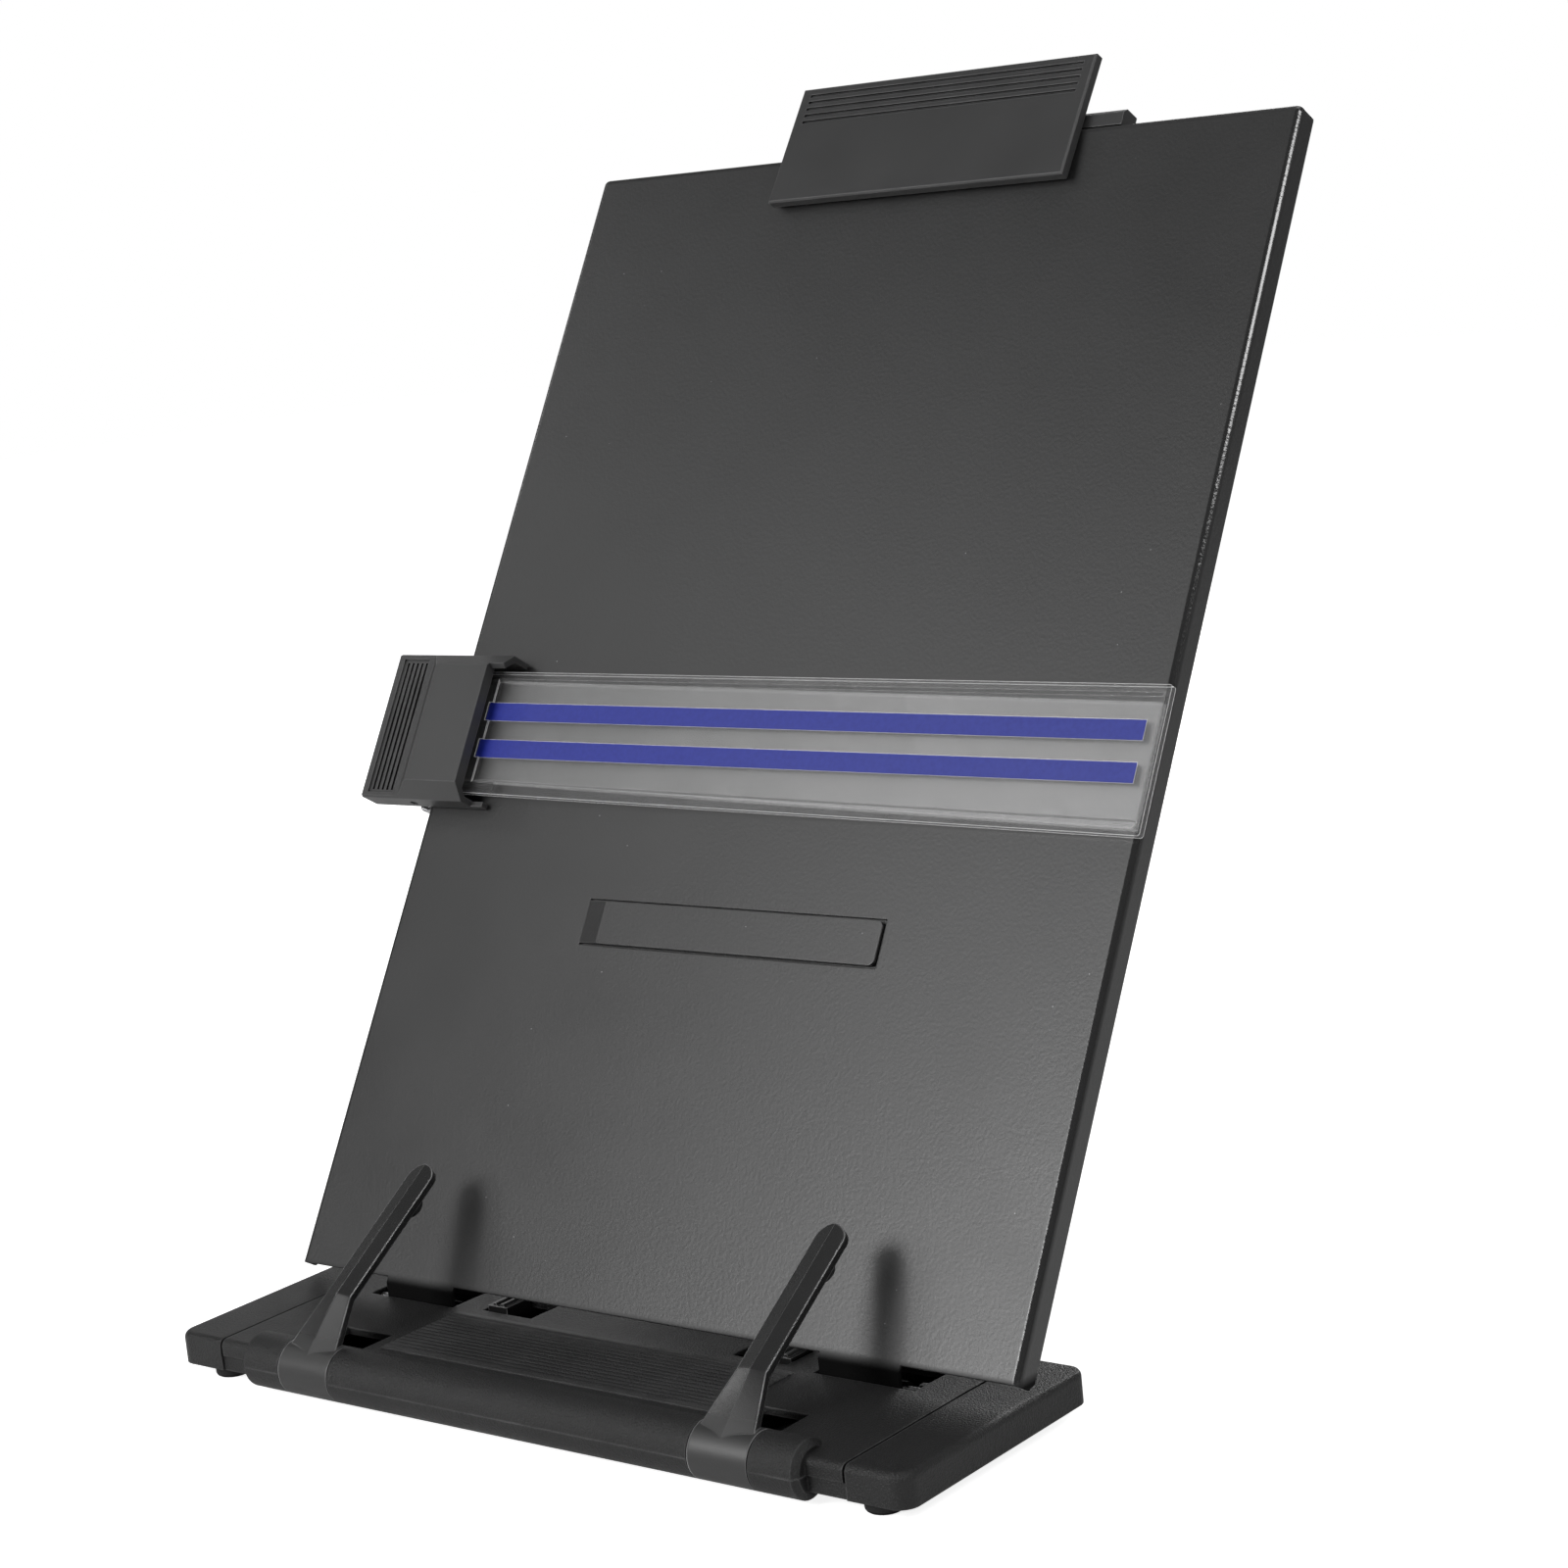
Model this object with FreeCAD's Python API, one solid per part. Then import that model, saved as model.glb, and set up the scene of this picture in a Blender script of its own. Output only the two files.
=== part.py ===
"""Copy holder with a line guide: a hinged steel page panel on a weighted plastic base.

Frame, in millimetres: the origin is the middle of the base's underside, +Z is up,
-Y is the side that faces the reader and +X is the reader's right.
The panel has a frame of its own: x across, s up along its face, h out of its face.
"""
import FreeCAD
import Part

import math
import os

V = FreeCAD.Vector
X_AXIS = V(1, 0, 0)
Y_AXIS = V(0, 1, 0)
Z_AXIS = V(0, 0, 1)
SIDES = {"left": -1, "right": 1}

# Clearances
running_gap = 0.08       # a pin in the bore that turns on it
side_gap = 0.3           # two pieces that slide past each other
slot_gap = 1.0           # a tab in the wide slot it drops into

# Base housing
base_width = 251.0
base_depth = 78.0
base_height = 8.8
parting_height = 4.3     # where the deck shell meets the lower shell
corner_radius = 5.0
edge_round = 2.0
shell_wall = 2.0
deck_wall = 2.0
floor_wall = 1.5
lower_step = 0.5         # the lower shell stands back this far
end_cap_width = 18.0
rear_fall = 0.6          # the deck behind the hinge falls by this much
groove_width = 0.7       # the line between an end cap and the shells
groove_depth = 0.6
foot_diameter = 10.0
foot_height = 4.0
foot_chamfer = 1.0
foot_inset_x = 12.7
foot_inset_y = 8.0
screw_radius = 2.0
screw_length = 5.8
screw_wall = 1.8
screw_recess = 0.3
screw_inset_x = 25.5     # from the base's end
screw_inset_front = 12.0
screw_inset_back = 10.0
boss_height = 3.4

# Roll along the base's front edge, with the arms' collars in it
roll_radius = 7.5
roll_inset = 29.5        # from the base's end
roll_end_bevel = 1.6
roll_setback = 3.5
axle_radius = 2.0
axle_end_wall = 2.0

# Page arms
arm_inset = 53.7         # from the base's end to the arm's middle
collar_width = 18.5
arm_width = 9.0
arm_thickness = 3.0
arm_ridge = 0.9
arm_bend_forward = 8.6   # bend and tip, measured from the roll's axis
arm_bend_up = 18.8
arm_tip_forward = 47.0
arm_tip_up = 43.7
arm_pad_radius = 4.0
arm_pad_height = 3.2
arm_pad_setback = 12.0
window_depth = 13.5
window_front = 9.0
window_inset = 0.65

# Ribbed page rest
rest_inset = 66.5        # from the base's end
rest_depth = 30.4
rest_front = 13.5
rest_thickness = 1.2
rest_recess = 0.8
rib_count = 14
rib_height = 0.7
rib_border = 1.3

# Hinge between base and panel
hinge_back = 50.3        # from the base's front face
hinge_height = 5.8
hinge_pin_radius = 1.95
curl_bore_gap = 0.05
curl_thickness = 1.0
tab_width = 25.4
tab_inset = 48.5         # from the base's end to the tab's middle
hinge_pin_length = 21.8
hinge_pin_inset = 8.7    # from the tab's inner edge to the pin's inner end
hinge_slot_front = 4.3   # from the hinge axis to the slot's edges
hinge_slot_back = 9.7
bearing_thickness = 3.0
bearing_half_depth = 4.0
bearing_rise = 1.8

# Sliding latches
latch_width = 7.0
latch_to_tab = 11.1
latch_travel = 10.5
latch_slot_depth = 11.7
latch_slot_front = 2.5
latch_body_overlap = 1.6
latch_head_rise = 0.9
latch_head_setback = 1.8
latch_ridge_height = 0.8
latch_ridge_width = 1.6
latch_engagement = 8.2   # how far a bolt reaches into its tab
tail_radius = 1.2
shoulder_radius = 1.9
latch_to_shoulder = 14.2
shoulder_width = 1.0
spring_seat_x = 8.0
spring_wire = 0.5
spring_turns = 7
coil_chords = 10         # straight pieces of wire in one turn
spring_radius = 1.75

# Page panel
panel_width = 250.0
panel_height = 349.2
panel_lean = 31.4        # degrees from upright
foot_forward = 2.1       # the panel's lower edge, from the hinge axis
foot_rise = 8.0
sheet = 1.0
flange_depth = 7.1
bend_radius = 2.0
flange_corner_cut = 2.0

# Lanced tongue and leg bracket
tongue_width = 104.2
tongue_height = 12.6
tongue_left = 51.6
tongue_bottom = 101.3
tongue_rise = 0.75
tongue_joggle = 6.6
tongue_slit = 0.5
tongue_corner = 2.0
bracket_width = 116.0
bracket_bottom = 94.0
bracket_height = 32.0
bracket_sheet = 1.2
ear_depth = 21.0
ear_bottom = 99.0
ear_corner = 5.0
index_radius = 12.5
index_hole_radius = 0.8
index_count = 5
index_step = 10.0        # degrees
rivet_radius = 2.2
rivet_height = 0.8
rivet_spacing = 98.0

# Rear leg
leg_pivot_s = 118.0
leg_pivot_back = 9.0
leg_length = 132.0
leg_width = 68.4
leg_sheet = 1.2
leg_flange = 7.0
leg_web_start = 14.0
leg_axle_radius = 2.0
leg_axle_head = 3.2
leg_axle_head_width = 1.0
leg_foot_radius = 4.0
leg_foot_width = 66.0
leg_foot_length = 12.0

# Clip
clip_centre = 2.5
jaw_width = 105.0
jaw_drop = 17.4          # the jaw's lower edge, below the panel's top
jaw_height = 39.7
jaw_thickness = 3.2
jaw_front_bottom = 5.0
jaw_front_top = 2.0
jaw_bevel = 0.5
groove_count = 5
groove_pitch = 2.3
groove_depth = 0.6
groove_top_margin = 2.8
groove_side_margin = 3.5
lip_height = 4.0
lip_margin = 1.0
bar_left = 50.5          # from the clip's middle
bar_right = 64.5
bar_height = 5.4
bar_front = -0.8
bar_depth = 6.7
bar_bevel = 1.5
clip_pin_radius = 1.5
clip_pin_rise = 9.4      # above the panel's top
clip_pin_h = -4.6
lug_radius = 3.0
lug_width = 4.0
lug_spacing = 58.0
clip_wire = 0.8
clip_coil_turns = 6
clip_coil_gap = 0.25
clip_arm_reach = 8.0     # the spring's front arm, up from the pin
clip_arm_drop = 6.6      # and its rear arm, down into the bar's pocket
clip_pocket_width = 22.0
clip_pocket_depth = 3.8
clip_screw_inset = 7.0
clip_screw_radius = 2.0
clip_screw_length = 6.8

# Line guide; its places across are measured from the panel's left edge
guide_bottom = 139.0
guide_height = 46.0
block_overhang = 21.0
block_reach = 20.0
block_face = 8.0
block_raised = 12.0
block_slope_start = 6.0
block_slope_end = 1.0
block_end_depth = 3.6    # the end wall over the ruler
block_wall = 1.8
block_floor_gap = 0.8
block_chamfer = 4.6
thumb_margin = 2.2
thumb_width = 10.5
thumb_height = 42.8
thumb_recess = 0.6
thumb_groove_count = 5
thumb_groove_width = 0.9
thumb_groove_depth = 0.6
ruler_start = 8.0
ruler_overhang = 2.0     # past the panel's right edge
ruler_top = 180.6
ruler_height = 38.0      # at its left end
ruler_taper = 2.9        # it is higher than that at its right end
ruler_corner = 0.8
ruler_thickness = 2.0
ruler_lift = 3.5
ruler_droop = 0.5        # degrees
ruler_rim_top = 3.2
ruler_rim_bottom = 4.4
ruler_rim_end = 2.5
ruler_rim_depth = 0.5
line_inset = 3.6
line_start = 1.5         # under the block
line_height = 5.6
line_bottoms = (153.8, 165.4)
line_film = 0.15
clamp_inset = 5.0
clamp_thickness = 1.4
clamp_tab_width = 7.0
clamp_tab_height = 3.0
clamp_screw_radius = 1.2
boss_width = 8.0
boss_wall = 2.0
rail_length = 4.6
rail_thickness = 1.5
rail_top = 3.2
hook_length = 5.5
hook_share = 0.8         # how far round the block's bevel the hook goes

# Guide carriage on the panel's left flange
runner_inset = 2.0       # the runner is shorter than the block by this at each end
runner_gap = 0.3
runner_outside = 4.0
runner_inside = 3.5
runner_lip = 2.0
runner_hook = 6.4
guide_pin_radius = 1.2
guide_pin_outside = 2.5
guide_pin_h = 3.7
knuckle_radius = 2.3
leaf_thickness = 0.25
leaf_width = 4.0
leaf_bow = 0.35
leaf_touch = 0.04
leaf_curl_radius = 2.0
leaf_curl_turn = 205.0   # degrees

# Worked out from the sizes above
half_width = base_width / 2
half_depth = base_depth / 2
cap_seam = half_width - end_cap_width
ceiling = base_height - deck_wall
roll_y = -half_depth + roll_setback
roll_z = parting_height
hinge_y = -half_depth + hinge_back
hinge_z = hinge_height
desk_z = -foot_height
curl_bore = hinge_pin_radius + curl_bore_gap
curl_radius = curl_bore + curl_thickness
screw_x = half_width - screw_inset_x
roll_end = half_width - roll_inset
rest_end = half_width - rest_inset
arm_x = half_width - arm_inset
tab_x = half_width - tab_inset
tab_inner = tab_x - tab_width / 2
tab_outer = tab_x + tab_width / 2
hinge_pin_start = tab_inner + hinge_pin_inset
hinge_pin_end = hinge_pin_start + hinge_pin_length
latch_outer_x = tab_inner - latch_to_tab
latch_inner_x = latch_outer_x - latch_width
shoulder_x = latch_inner_x - latch_to_shoulder
bolt_end = tab_inner + latch_engagement
panel_foot_y = hinge_y - foot_forward
panel_foot_z = hinge_z + foot_rise
jaw_bottom = panel_height - jaw_drop
clip_pin_s = panel_height + clip_pin_rise
bar_start = clip_centre - bar_left
bar_end = clip_centre + bar_right
panel_edge = panel_width / 2
block_left = panel_edge + block_overhang
block_right = panel_edge - block_reach
block_slope_left = panel_edge + block_slope_start
block_slope_right = panel_edge + block_slope_end
guide_top = guide_bottom + guide_height
ruler_left = panel_edge - ruler_start
ruler_right = panel_edge + ruler_overhang
ruler_pivot = -(ruler_left + block_right) / 2
line_left = block_right + line_start
line_right = panel_edge - line_inset
runner_left = panel_edge + runner_outside
runner_inner = panel_edge - runner_inside
guide_pin_x = panel_edge + guide_pin_outside


# Shapes in the base's frame
def block(x0, x1, y0, y1, z0, z1):
    """A box between two corners."""
    return Part.makeBox(x1 - x0, y1 - y0, z1 - z0, V(x0, y0, z0))


def mirrored_pair(side, inner, outer):
    """The x limits, low first, of something between two distances on one side."""
    if side > 0:
        return inner, outer
    return -outer, -inner


def rod(radius, x0, x1, y, z):
    """A round bar along X."""
    return Part.makeCylinder(radius, x1 - x0, V(x0, y, z), X_AXIS)


def prism_x(points, x0, x1):
    """A (y, z) outline drawn out along X."""
    corners = [V(x0, y, z) for y, z in points]
    face = Part.Face(Part.makePolygon(corners + corners[:1]))
    return face.extrude(V(x1 - x0, 0, 0))


def prism_y(points, y0, y1):
    """An (x, z) outline drawn out along Y."""
    corners = [V(x, y0, z) for x, z in points]
    face = Part.Face(Part.makePolygon(corners + corners[:1]))
    return face.extrude(V(0, y1 - y0, 0))


def prism_z(points, z0, z1):
    """An (x, y) outline drawn out along Z."""
    corners = [V(x, y, z0) for x, y in points]
    face = Part.Face(Part.makePolygon(corners + corners[:1]))
    return face.extrude(V(0, 0, z1 - z0))


def fuse_all(shapes):
    """One solid from touching shapes."""
    return shapes[0].multiFuse(shapes[1:]).removeSplitter()


def cut_all(shape, tools):
    """A shape with every tool taken out of it."""
    return shape.cut(Part.makeCompound(tools))


def rounded_block(x0, x1, y0, y1, z0, z1, radius, axis):
    """A box whose edges along one axis are rounded."""
    shape = block(x0, x1, y0, y1, z0, z1)
    edges = [e for e in shape.Edges if e.tangentAt(e.FirstParameter).cross(axis).Length < 1e-6]
    return shape.makeFillet(radius, edges)


def edges_at(shape, axis, value):
    """The straight or curved edges that lie wholly at one coordinate."""
    found = []
    for edge in shape.Edges:
        low = getattr(edge.BoundBox, axis + "Min")
        high = getattr(edge.BoundBox, axis + "Max")
        if abs(low - value) < 1e-4 and abs(high - value) < 1e-4:
            found.append(edge)
    return found


def on_panel(shape):
    """Move a shape from the panel's (x, s, h) frame to the base's frame."""
    placed = shape.copy()
    placed.rotate(V(0, 0, 0), X_AXIS, 90 - panel_lean)
    placed.translate(V(0, panel_foot_y, panel_foot_z))
    return placed


def point_on_panel(s, h):
    """The (y, z) of a place given up the panel and out of its face."""
    lean = math.radians(panel_lean)
    y = panel_foot_y + s * math.sin(lean) - h * math.cos(lean)
    z = panel_foot_z + s * math.cos(lean) + h * math.sin(lean)
    return y, z


def save(name, *solids):
    """Write one sub-part, a solid or a group of separate solids."""
    shape = solids[0] if len(solids) == 1 else Part.makeCompound(list(solids))
    shape.exportStep("parts/" + name + ".step")


# Base
def housing(inset, z0, z1):
    """The rounded plan of the base between two heights."""
    return rounded_block(
        -half_width + inset, half_width - inset, -half_depth + inset, half_depth - inset,
        z0, z1, corner_radius, Z_AXIS)


def outer_housing():
    """The whole outside of the base, with its soft top edge and falling rear deck."""
    body = housing(0, 0, base_height)
    body = body.makeFillet(edge_round, edges_at(body, "Z", base_height))
    fall = prism_x(
        [(hinge_y, base_height), (half_depth, base_height - rear_fall),
         (half_depth, base_height + 1), (hinge_y, base_height + 1)],
        -half_width, half_width)
    return body.cut(fall)


def screw_places():
    """The places of the four screws that hold the shells together."""
    front = -half_depth + screw_inset_front
    back = half_depth - screw_inset_back
    return [(x, y) for x in (-screw_x, screw_x) for y in (front, back)]


def seam_groove(side):
    """The shallow line round the base where an end cap meets the shells."""
    a, b = mirrored_pair(side, cap_seam - groove_width / 2, cap_seam + groove_width / 2)
    front = -half_depth + groove_depth
    back = half_depth - groove_depth
    top = base_height - groove_depth
    core = prism_x(
        [(front, -1), (front, top - edge_round / 2), (front + edge_round / 2, top), (hinge_y, top),
         (back - edge_round / 2, top - rear_fall), (back, top - rear_fall - edge_round / 2),
         (back, -1)], a, b)
    return block(a, b, -base_depth, base_depth, -1, 2 * base_height).cut(core)


def roll_stub(side):
    """The roll's short piece outside an arm's collar, with a bevelled end."""
    inner = arm_x + collar_width / 2 + side_gap
    stub = rod(roll_radius, *mirrored_pair(side, inner, roll_end), roll_y, roll_z)
    return stub.makeChamfer(roll_end_bevel, edges_at(stub, "X", side * roll_end))


def whole_roll():
    """The middle and the two outer stubs of the roll, with gaps for the arms' collars."""
    inner = arm_x - collar_width / 2 - side_gap
    middle = rod(roll_radius, -inner, inner, roll_y, roll_z)
    return [middle, roll_stub(-1), roll_stub(1)]


def collar_notches():
    """The room in which the arms' collars turn."""
    tools = []
    for side in SIDES.values():
        inner = arm_x - collar_width / 2 - side_gap
        outer = arm_x + collar_width / 2 + side_gap
        x0, x1 = mirrored_pair(side, inner, outer)
        tools.append(rod(roll_radius + side_gap, x0, x1, roll_y, roll_z))
    return tools


def axle_bore():
    """The bore for the arms' axle, closed near the roll's ends."""
    reach = roll_end - axle_end_wall
    return rod(axle_radius, -reach, reach, roll_y, roll_z)


def latch_channel(side):
    """The relief over a latch's bolt and tail, under the deck."""
    x0, x1 = mirrored_pair(side, spring_seat_x, tab_inner)
    return rod(hinge_pin_radius + side_gap, x0, x1, hinge_y, hinge_z)


def rest_plan():
    """The page rest's limits in plan."""
    front = -half_depth + rest_front
    return -rest_end, rest_end, front, front + rest_depth


def make_base_top():
    """The deck shell: upper half of the roll, windows, hinge slots and latch slots."""
    upper = block(-cap_seam, cap_seam, -base_depth, base_depth, parting_height, 2 * base_height)
    skin = outer_housing().common(upper)
    room = block(
        -cap_seam, cap_seam, -half_depth + shell_wall, half_depth - shell_wall,
        0, ceiling)
    skin = skin.cut(room)
    half_space = block(-base_width, base_width, -base_depth, base_depth, parting_height, base_depth)
    shapes = [skin] + [piece.common(half_space) for piece in whole_roll()]
    for x, y in screw_places():
        height = ceiling + deck_wall / 2 - boss_height
        shapes.append(Part.makeCylinder(screw_radius + screw_wall, height, V(x, y, boss_height)))
    shell = fuse_all(shapes)
    x0, x1, y0, y1 = rest_plan()
    tools = collar_notches() + [axle_bore()]
    tools.append(block(x0, x1, y0, y1, base_height - rest_recess, base_height + 1))
    for side in SIDES.values():
        collar_inner = arm_x - collar_width / 2 + window_inset
        collar_outer = arm_x + collar_width / 2 - window_inset
        a, b = mirrored_pair(side, collar_inner, collar_outer)
        front = -half_depth + window_front
        tools.append(block(a, b, front, front + window_depth, parting_height, base_height + 1))
        a, b = mirrored_pair(side, tab_inner - slot_gap, tab_outer + slot_gap + bearing_thickness + 1.5)
        tools.append(block(a, b, hinge_y - hinge_slot_front, hinge_y + hinge_slot_back,
                           parting_height, base_height + 1))
        a, b = mirrored_pair(side, latch_inner_x - latch_travel - side_gap, latch_outer_x + side_gap)
        front = hinge_y - latch_slot_front
        tools.append(block(a, b, front, front + latch_slot_depth, parting_height, base_height + 1))
        tools += [latch_channel(side), seam_groove(side)]
    for x, y in screw_places():
        tools.append(Part.makeCylinder(screw_radius, screw_recess + screw_length, V(x, y, 0)))
    return cut_all(shell, tools)


def make_base_bottom():
    """The lower shell: floor, lower half of the roll, hinge bearings and bolt guides."""
    lower = block(-cap_seam, cap_seam, -base_depth, base_depth, 0, parting_height)
    skin = housing(lower_step, 0, parting_height).common(lower)
    room = block(
        -cap_seam, cap_seam, -half_depth + lower_step + shell_wall,
        half_depth - lower_step - shell_wall, floor_wall, base_height)
    skin = skin.cut(room)
    half_space = block(-base_width, base_width, -base_depth, base_depth, -base_depth, parting_height)
    shapes = [skin] + [piece.common(half_space) for piece in whole_roll()]
    for x, y in screw_places():
        shapes.append(Part.makeCylinder(screw_radius + screw_wall, boss_height, V(x, y, 0)))
    for side in SIDES.values():
        shapes += hinge_supports(side)
    shell = fuse_all(shapes)
    tools = collar_notches() + [axle_bore()]
    for x, y in screw_places():
        tools.append(Part.makeCylinder(screw_radius, base_height, V(x, y, 0)))
    for side in SIDES.values():
        a, b = mirrored_pair(side, spring_seat_x, tab_inner - slot_gap)
        tools.append(rod(hinge_pin_radius + running_gap, a, b, hinge_y, hinge_z))
        a, b = mirrored_pair(side, tab_outer, cap_seam)
        notch = hinge_pin_radius + running_gap
        tools.append(rod(notch, a, b, hinge_y, hinge_z))
        tools.append(block(a, b, hinge_y - notch, hinge_y + notch, hinge_z, base_height))
    return cut_all(shell, tools)


def hinge_supports(side):
    """A hinge bearing, a bolt guide and a spring seat, standing on the floor."""
    y0 = hinge_y - bearing_half_depth
    y1 = hinge_y + bearing_half_depth
    bearing_inner = hinge_pin_end - bearing_thickness
    supports = []
    a, b = mirrored_pair(side, bearing_inner, hinge_pin_end + side_gap)
    supports.append(block(a, b, y0, y1, floor_wall / 2, hinge_z + bearing_rise))
    a, b = mirrored_pair(side, latch_outer_x + side_gap, tab_inner - slot_gap)
    supports.append(block(a, b, y0, y1, floor_wall / 2, ceiling - side_gap))
    a, b = mirrored_pair(side, spring_seat_x - shell_wall, spring_seat_x)
    supports.append(block(a, b, y0, y1, floor_wall / 2, ceiling - side_gap))
    return supports


def make_end_cap(side):
    """A moulded end, open towards the shells that it closes."""
    a, b = mirrored_pair(side, cap_seam, half_width)
    shape = outer_housing().common(block(a, b, -base_depth, base_depth, 0, 2 * base_height))
    a, b = mirrored_pair(side, cap_seam, half_width - shell_wall)
    room = block(a, b, -half_depth + shell_wall, half_depth - shell_wall, floor_wall, ceiling)
    return cut_all(shape, [room, seam_groove(side)])


def make_rest():
    """The ribbed page rest, one sawtooth outline drawn out along X."""
    x0, x1, y0, y1 = rest_plan()
    bottom = base_height - rest_recess
    top = bottom + rest_thickness
    outline = [(y0, bottom), (y1, bottom), (y1, top)]
    pitch = (rest_depth - 2 * rib_border) / rib_count
    for i in range(rib_count):
        back = y1 - rib_border - i * pitch
        outline.append((back, top))
        outline.append((back - pitch * 0.25, top + rib_height))
        outline.append((back - pitch * 0.55, top + rib_height))
        outline.append((back - pitch * 0.8, top))
    outline.append((y0, top))
    return prism_x(outline, x0, x1)


def make_feet():
    """Four rubber feet under the end caps."""
    feet = []
    for x in (-half_width + foot_inset_x, half_width - foot_inset_x):
        for y in (-half_depth + foot_inset_y, half_depth - foot_inset_y):
            foot = Part.makeCylinder(foot_diameter / 2, foot_height, V(x, y, desk_z))
            feet.append(foot.makeChamfer(foot_chamfer, edges_at(foot, "Z", desk_z)))
    return feet


def make_base_screws():
    """Screws from below that hold the two shells together."""
    return [Part.makeCylinder(screw_radius, screw_length, V(x, y, screw_recess))
            for x, y in screw_places()]


def coil(radius, wire, x0, x1, turns, y, z):
    """A coil about a line along X, of square wire set on edge, in straight chords."""
    half = wire / 2
    count = turns * coil_chords
    rings = []
    for i in range(count + 1):
        angle = 2 * math.pi * i / coil_chords
        x = x0 + (x1 - x0) * i / count
        ring = []
        for along, out in ((-half, 0), (0, half), (half, 0), (0, -half)):
            reach = radius + out
            ring.append(V(x + along, y + reach * math.cos(angle), z + reach * math.sin(angle)))
        rings.append(ring)
    outlines = [rings[0], rings[-1]]
    for before, after in zip(rings, rings[1:]):
        for i in range(4):
            j = (i + 1) % 4
            outlines.append([before[i], before[j], after[j]])
            outlines.append([before[i], after[j], after[i]])
    shell = Part.makeShell([Part.Face(Part.makePolygon(o + o[:1])) for o in outlines])
    shell.sewShape()
    solid = Part.makeSolid(shell)
    if solid.Volume < 0:
        solid.reverse()
    return solid


def make_latch_spring(side):
    """The spring that presses a latch outwards."""
    gap = spring_wire / 2 + 0.02
    a, b = mirrored_pair(side, spring_seat_x + gap, shoulder_x - gap)
    return coil(spring_radius, spring_wire, a, b, spring_turns, hinge_y, hinge_z)


# Latches
def make_latch(side):
    """A ridged latch block that slides in its deck slot."""
    a, b = mirrored_pair(side, latch_inner_x, latch_outer_x)
    slot_front = hinge_y - latch_slot_front
    slot_back = slot_front + latch_slot_depth
    front = slot_front + side_gap + latch_head_setback
    back = slot_back - side_gap
    top = base_height + latch_head_rise
    head = block(a, b, front, back, hinge_z, top)
    carriage = block(
        a, b, slot_front - latch_body_overlap, slot_back + latch_body_overlap,
        floor_wall + side_gap, ceiling - side_gap)
    shapes = [head, carriage]
    for share in (0.22, 0.62):
        x = a + latch_width * share
        outline = [(x, top), (x + latch_ridge_width, top),
                   (x + latch_ridge_width * 0.75, top + latch_ridge_height),
                   (x + latch_ridge_width * 0.25, top + latch_ridge_height)]
        shapes.append(prism_y(outline, front + side_gap, back - side_gap))
    body = fuse_all(shapes)
    return body.cut(rod(tail_radius, a, b, hinge_y, hinge_z))


def make_latch_bolt(side):
    """The steel bolt with its thin tail and spring shoulder."""
    a, b = mirrored_pair(side, latch_outer_x, bolt_end)
    bolt = rod(hinge_pin_radius, a, b, hinge_y, hinge_z)
    tip = edges_at(bolt, "X", side * bolt_end)
    bolt = bolt.makeChamfer(hinge_pin_radius / 4, tip)
    tail_end = shoulder_x - latch_travel + shoulder_width
    a, b = mirrored_pair(side, tail_end, latch_outer_x)
    tail = rod(tail_radius, a, b, hinge_y, hinge_z)
    a, b = mirrored_pair(side, shoulder_x, shoulder_x + shoulder_width)
    shoulder = rod(shoulder_radius, a, b, hinge_y, hinge_z)
    return fuse_all([bolt, tail, shoulder])


# Arms
def arm_section(y, z, along, width, trim):
    """A gabled cross-section of an arm at a place on its front crease."""
    across = V(0, -along[1], along[0])
    tilt = V(0, trim[0], trim[1])
    scale = 1 / across.dot(tilt)
    crease = V(0, y, z)
    edge = crease - tilt * (arm_ridge * scale)
    back = crease - tilt * (arm_thickness * scale)
    half = V(width / 2, 0, 0)
    corners = [edge - half, crease, edge + half, back + half, back - half]
    return Part.makePolygon(corners + corners[:1])


def unit(dy, dz):
    """A direction of length one in the (y, z) plane."""
    length = math.hypot(dy, dz)
    return dy / length, dz / length


def arm_points():
    """The collar's tangent point, the bend and the tip, from the roll's axis."""
    reach = math.hypot(arm_bend_forward, arm_bend_up)
    bearing = math.atan2(arm_bend_up, arm_bend_forward)
    turn = bearing + math.acos(roll_radius / reach)
    start = (roll_radius * math.cos(turn), roll_radius * math.sin(turn))
    return start, (arm_bend_forward, arm_bend_up), (arm_tip_forward, arm_tip_up)


def make_arm():
    """A page arm in the middle of the base: collar, tapering leg, bend and slim finger."""
    start, bend, tip = arm_points()
    low = unit(bend[0] - start[0], bend[1] - start[1])
    high = unit(tip[0] - bend[0], tip[1] - bend[1])
    low_normal = (-low[1], low[0])
    high_normal = (-high[1], high[0])
    mitre = unit(low_normal[0] + high_normal[0], low_normal[1] + high_normal[1])

    def at(point):
        return point[0] + roll_y, point[1] + roll_z

    foot = arm_section(*at(start), low, collar_width, low_normal)
    knee = arm_section(*at(bend), low, arm_width, mitre)
    end = arm_section(*at(tip), high, arm_width, high_normal)
    leg = Part.makeLoft([foot, knee], True, True)
    finger = Part.makeLoft([knee, end], True, True)
    collar = rod(roll_radius, -collar_width / 2, collar_width / 2, roll_y, roll_z)
    finger = finger.common(finger_outline(at(bend), at(tip), high))
    arm = fuse_all([collar, leg, finger])
    bore = rod(axle_radius + running_gap, -collar_width, collar_width, roll_y, roll_z)
    return arm.cut(bore)


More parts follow.
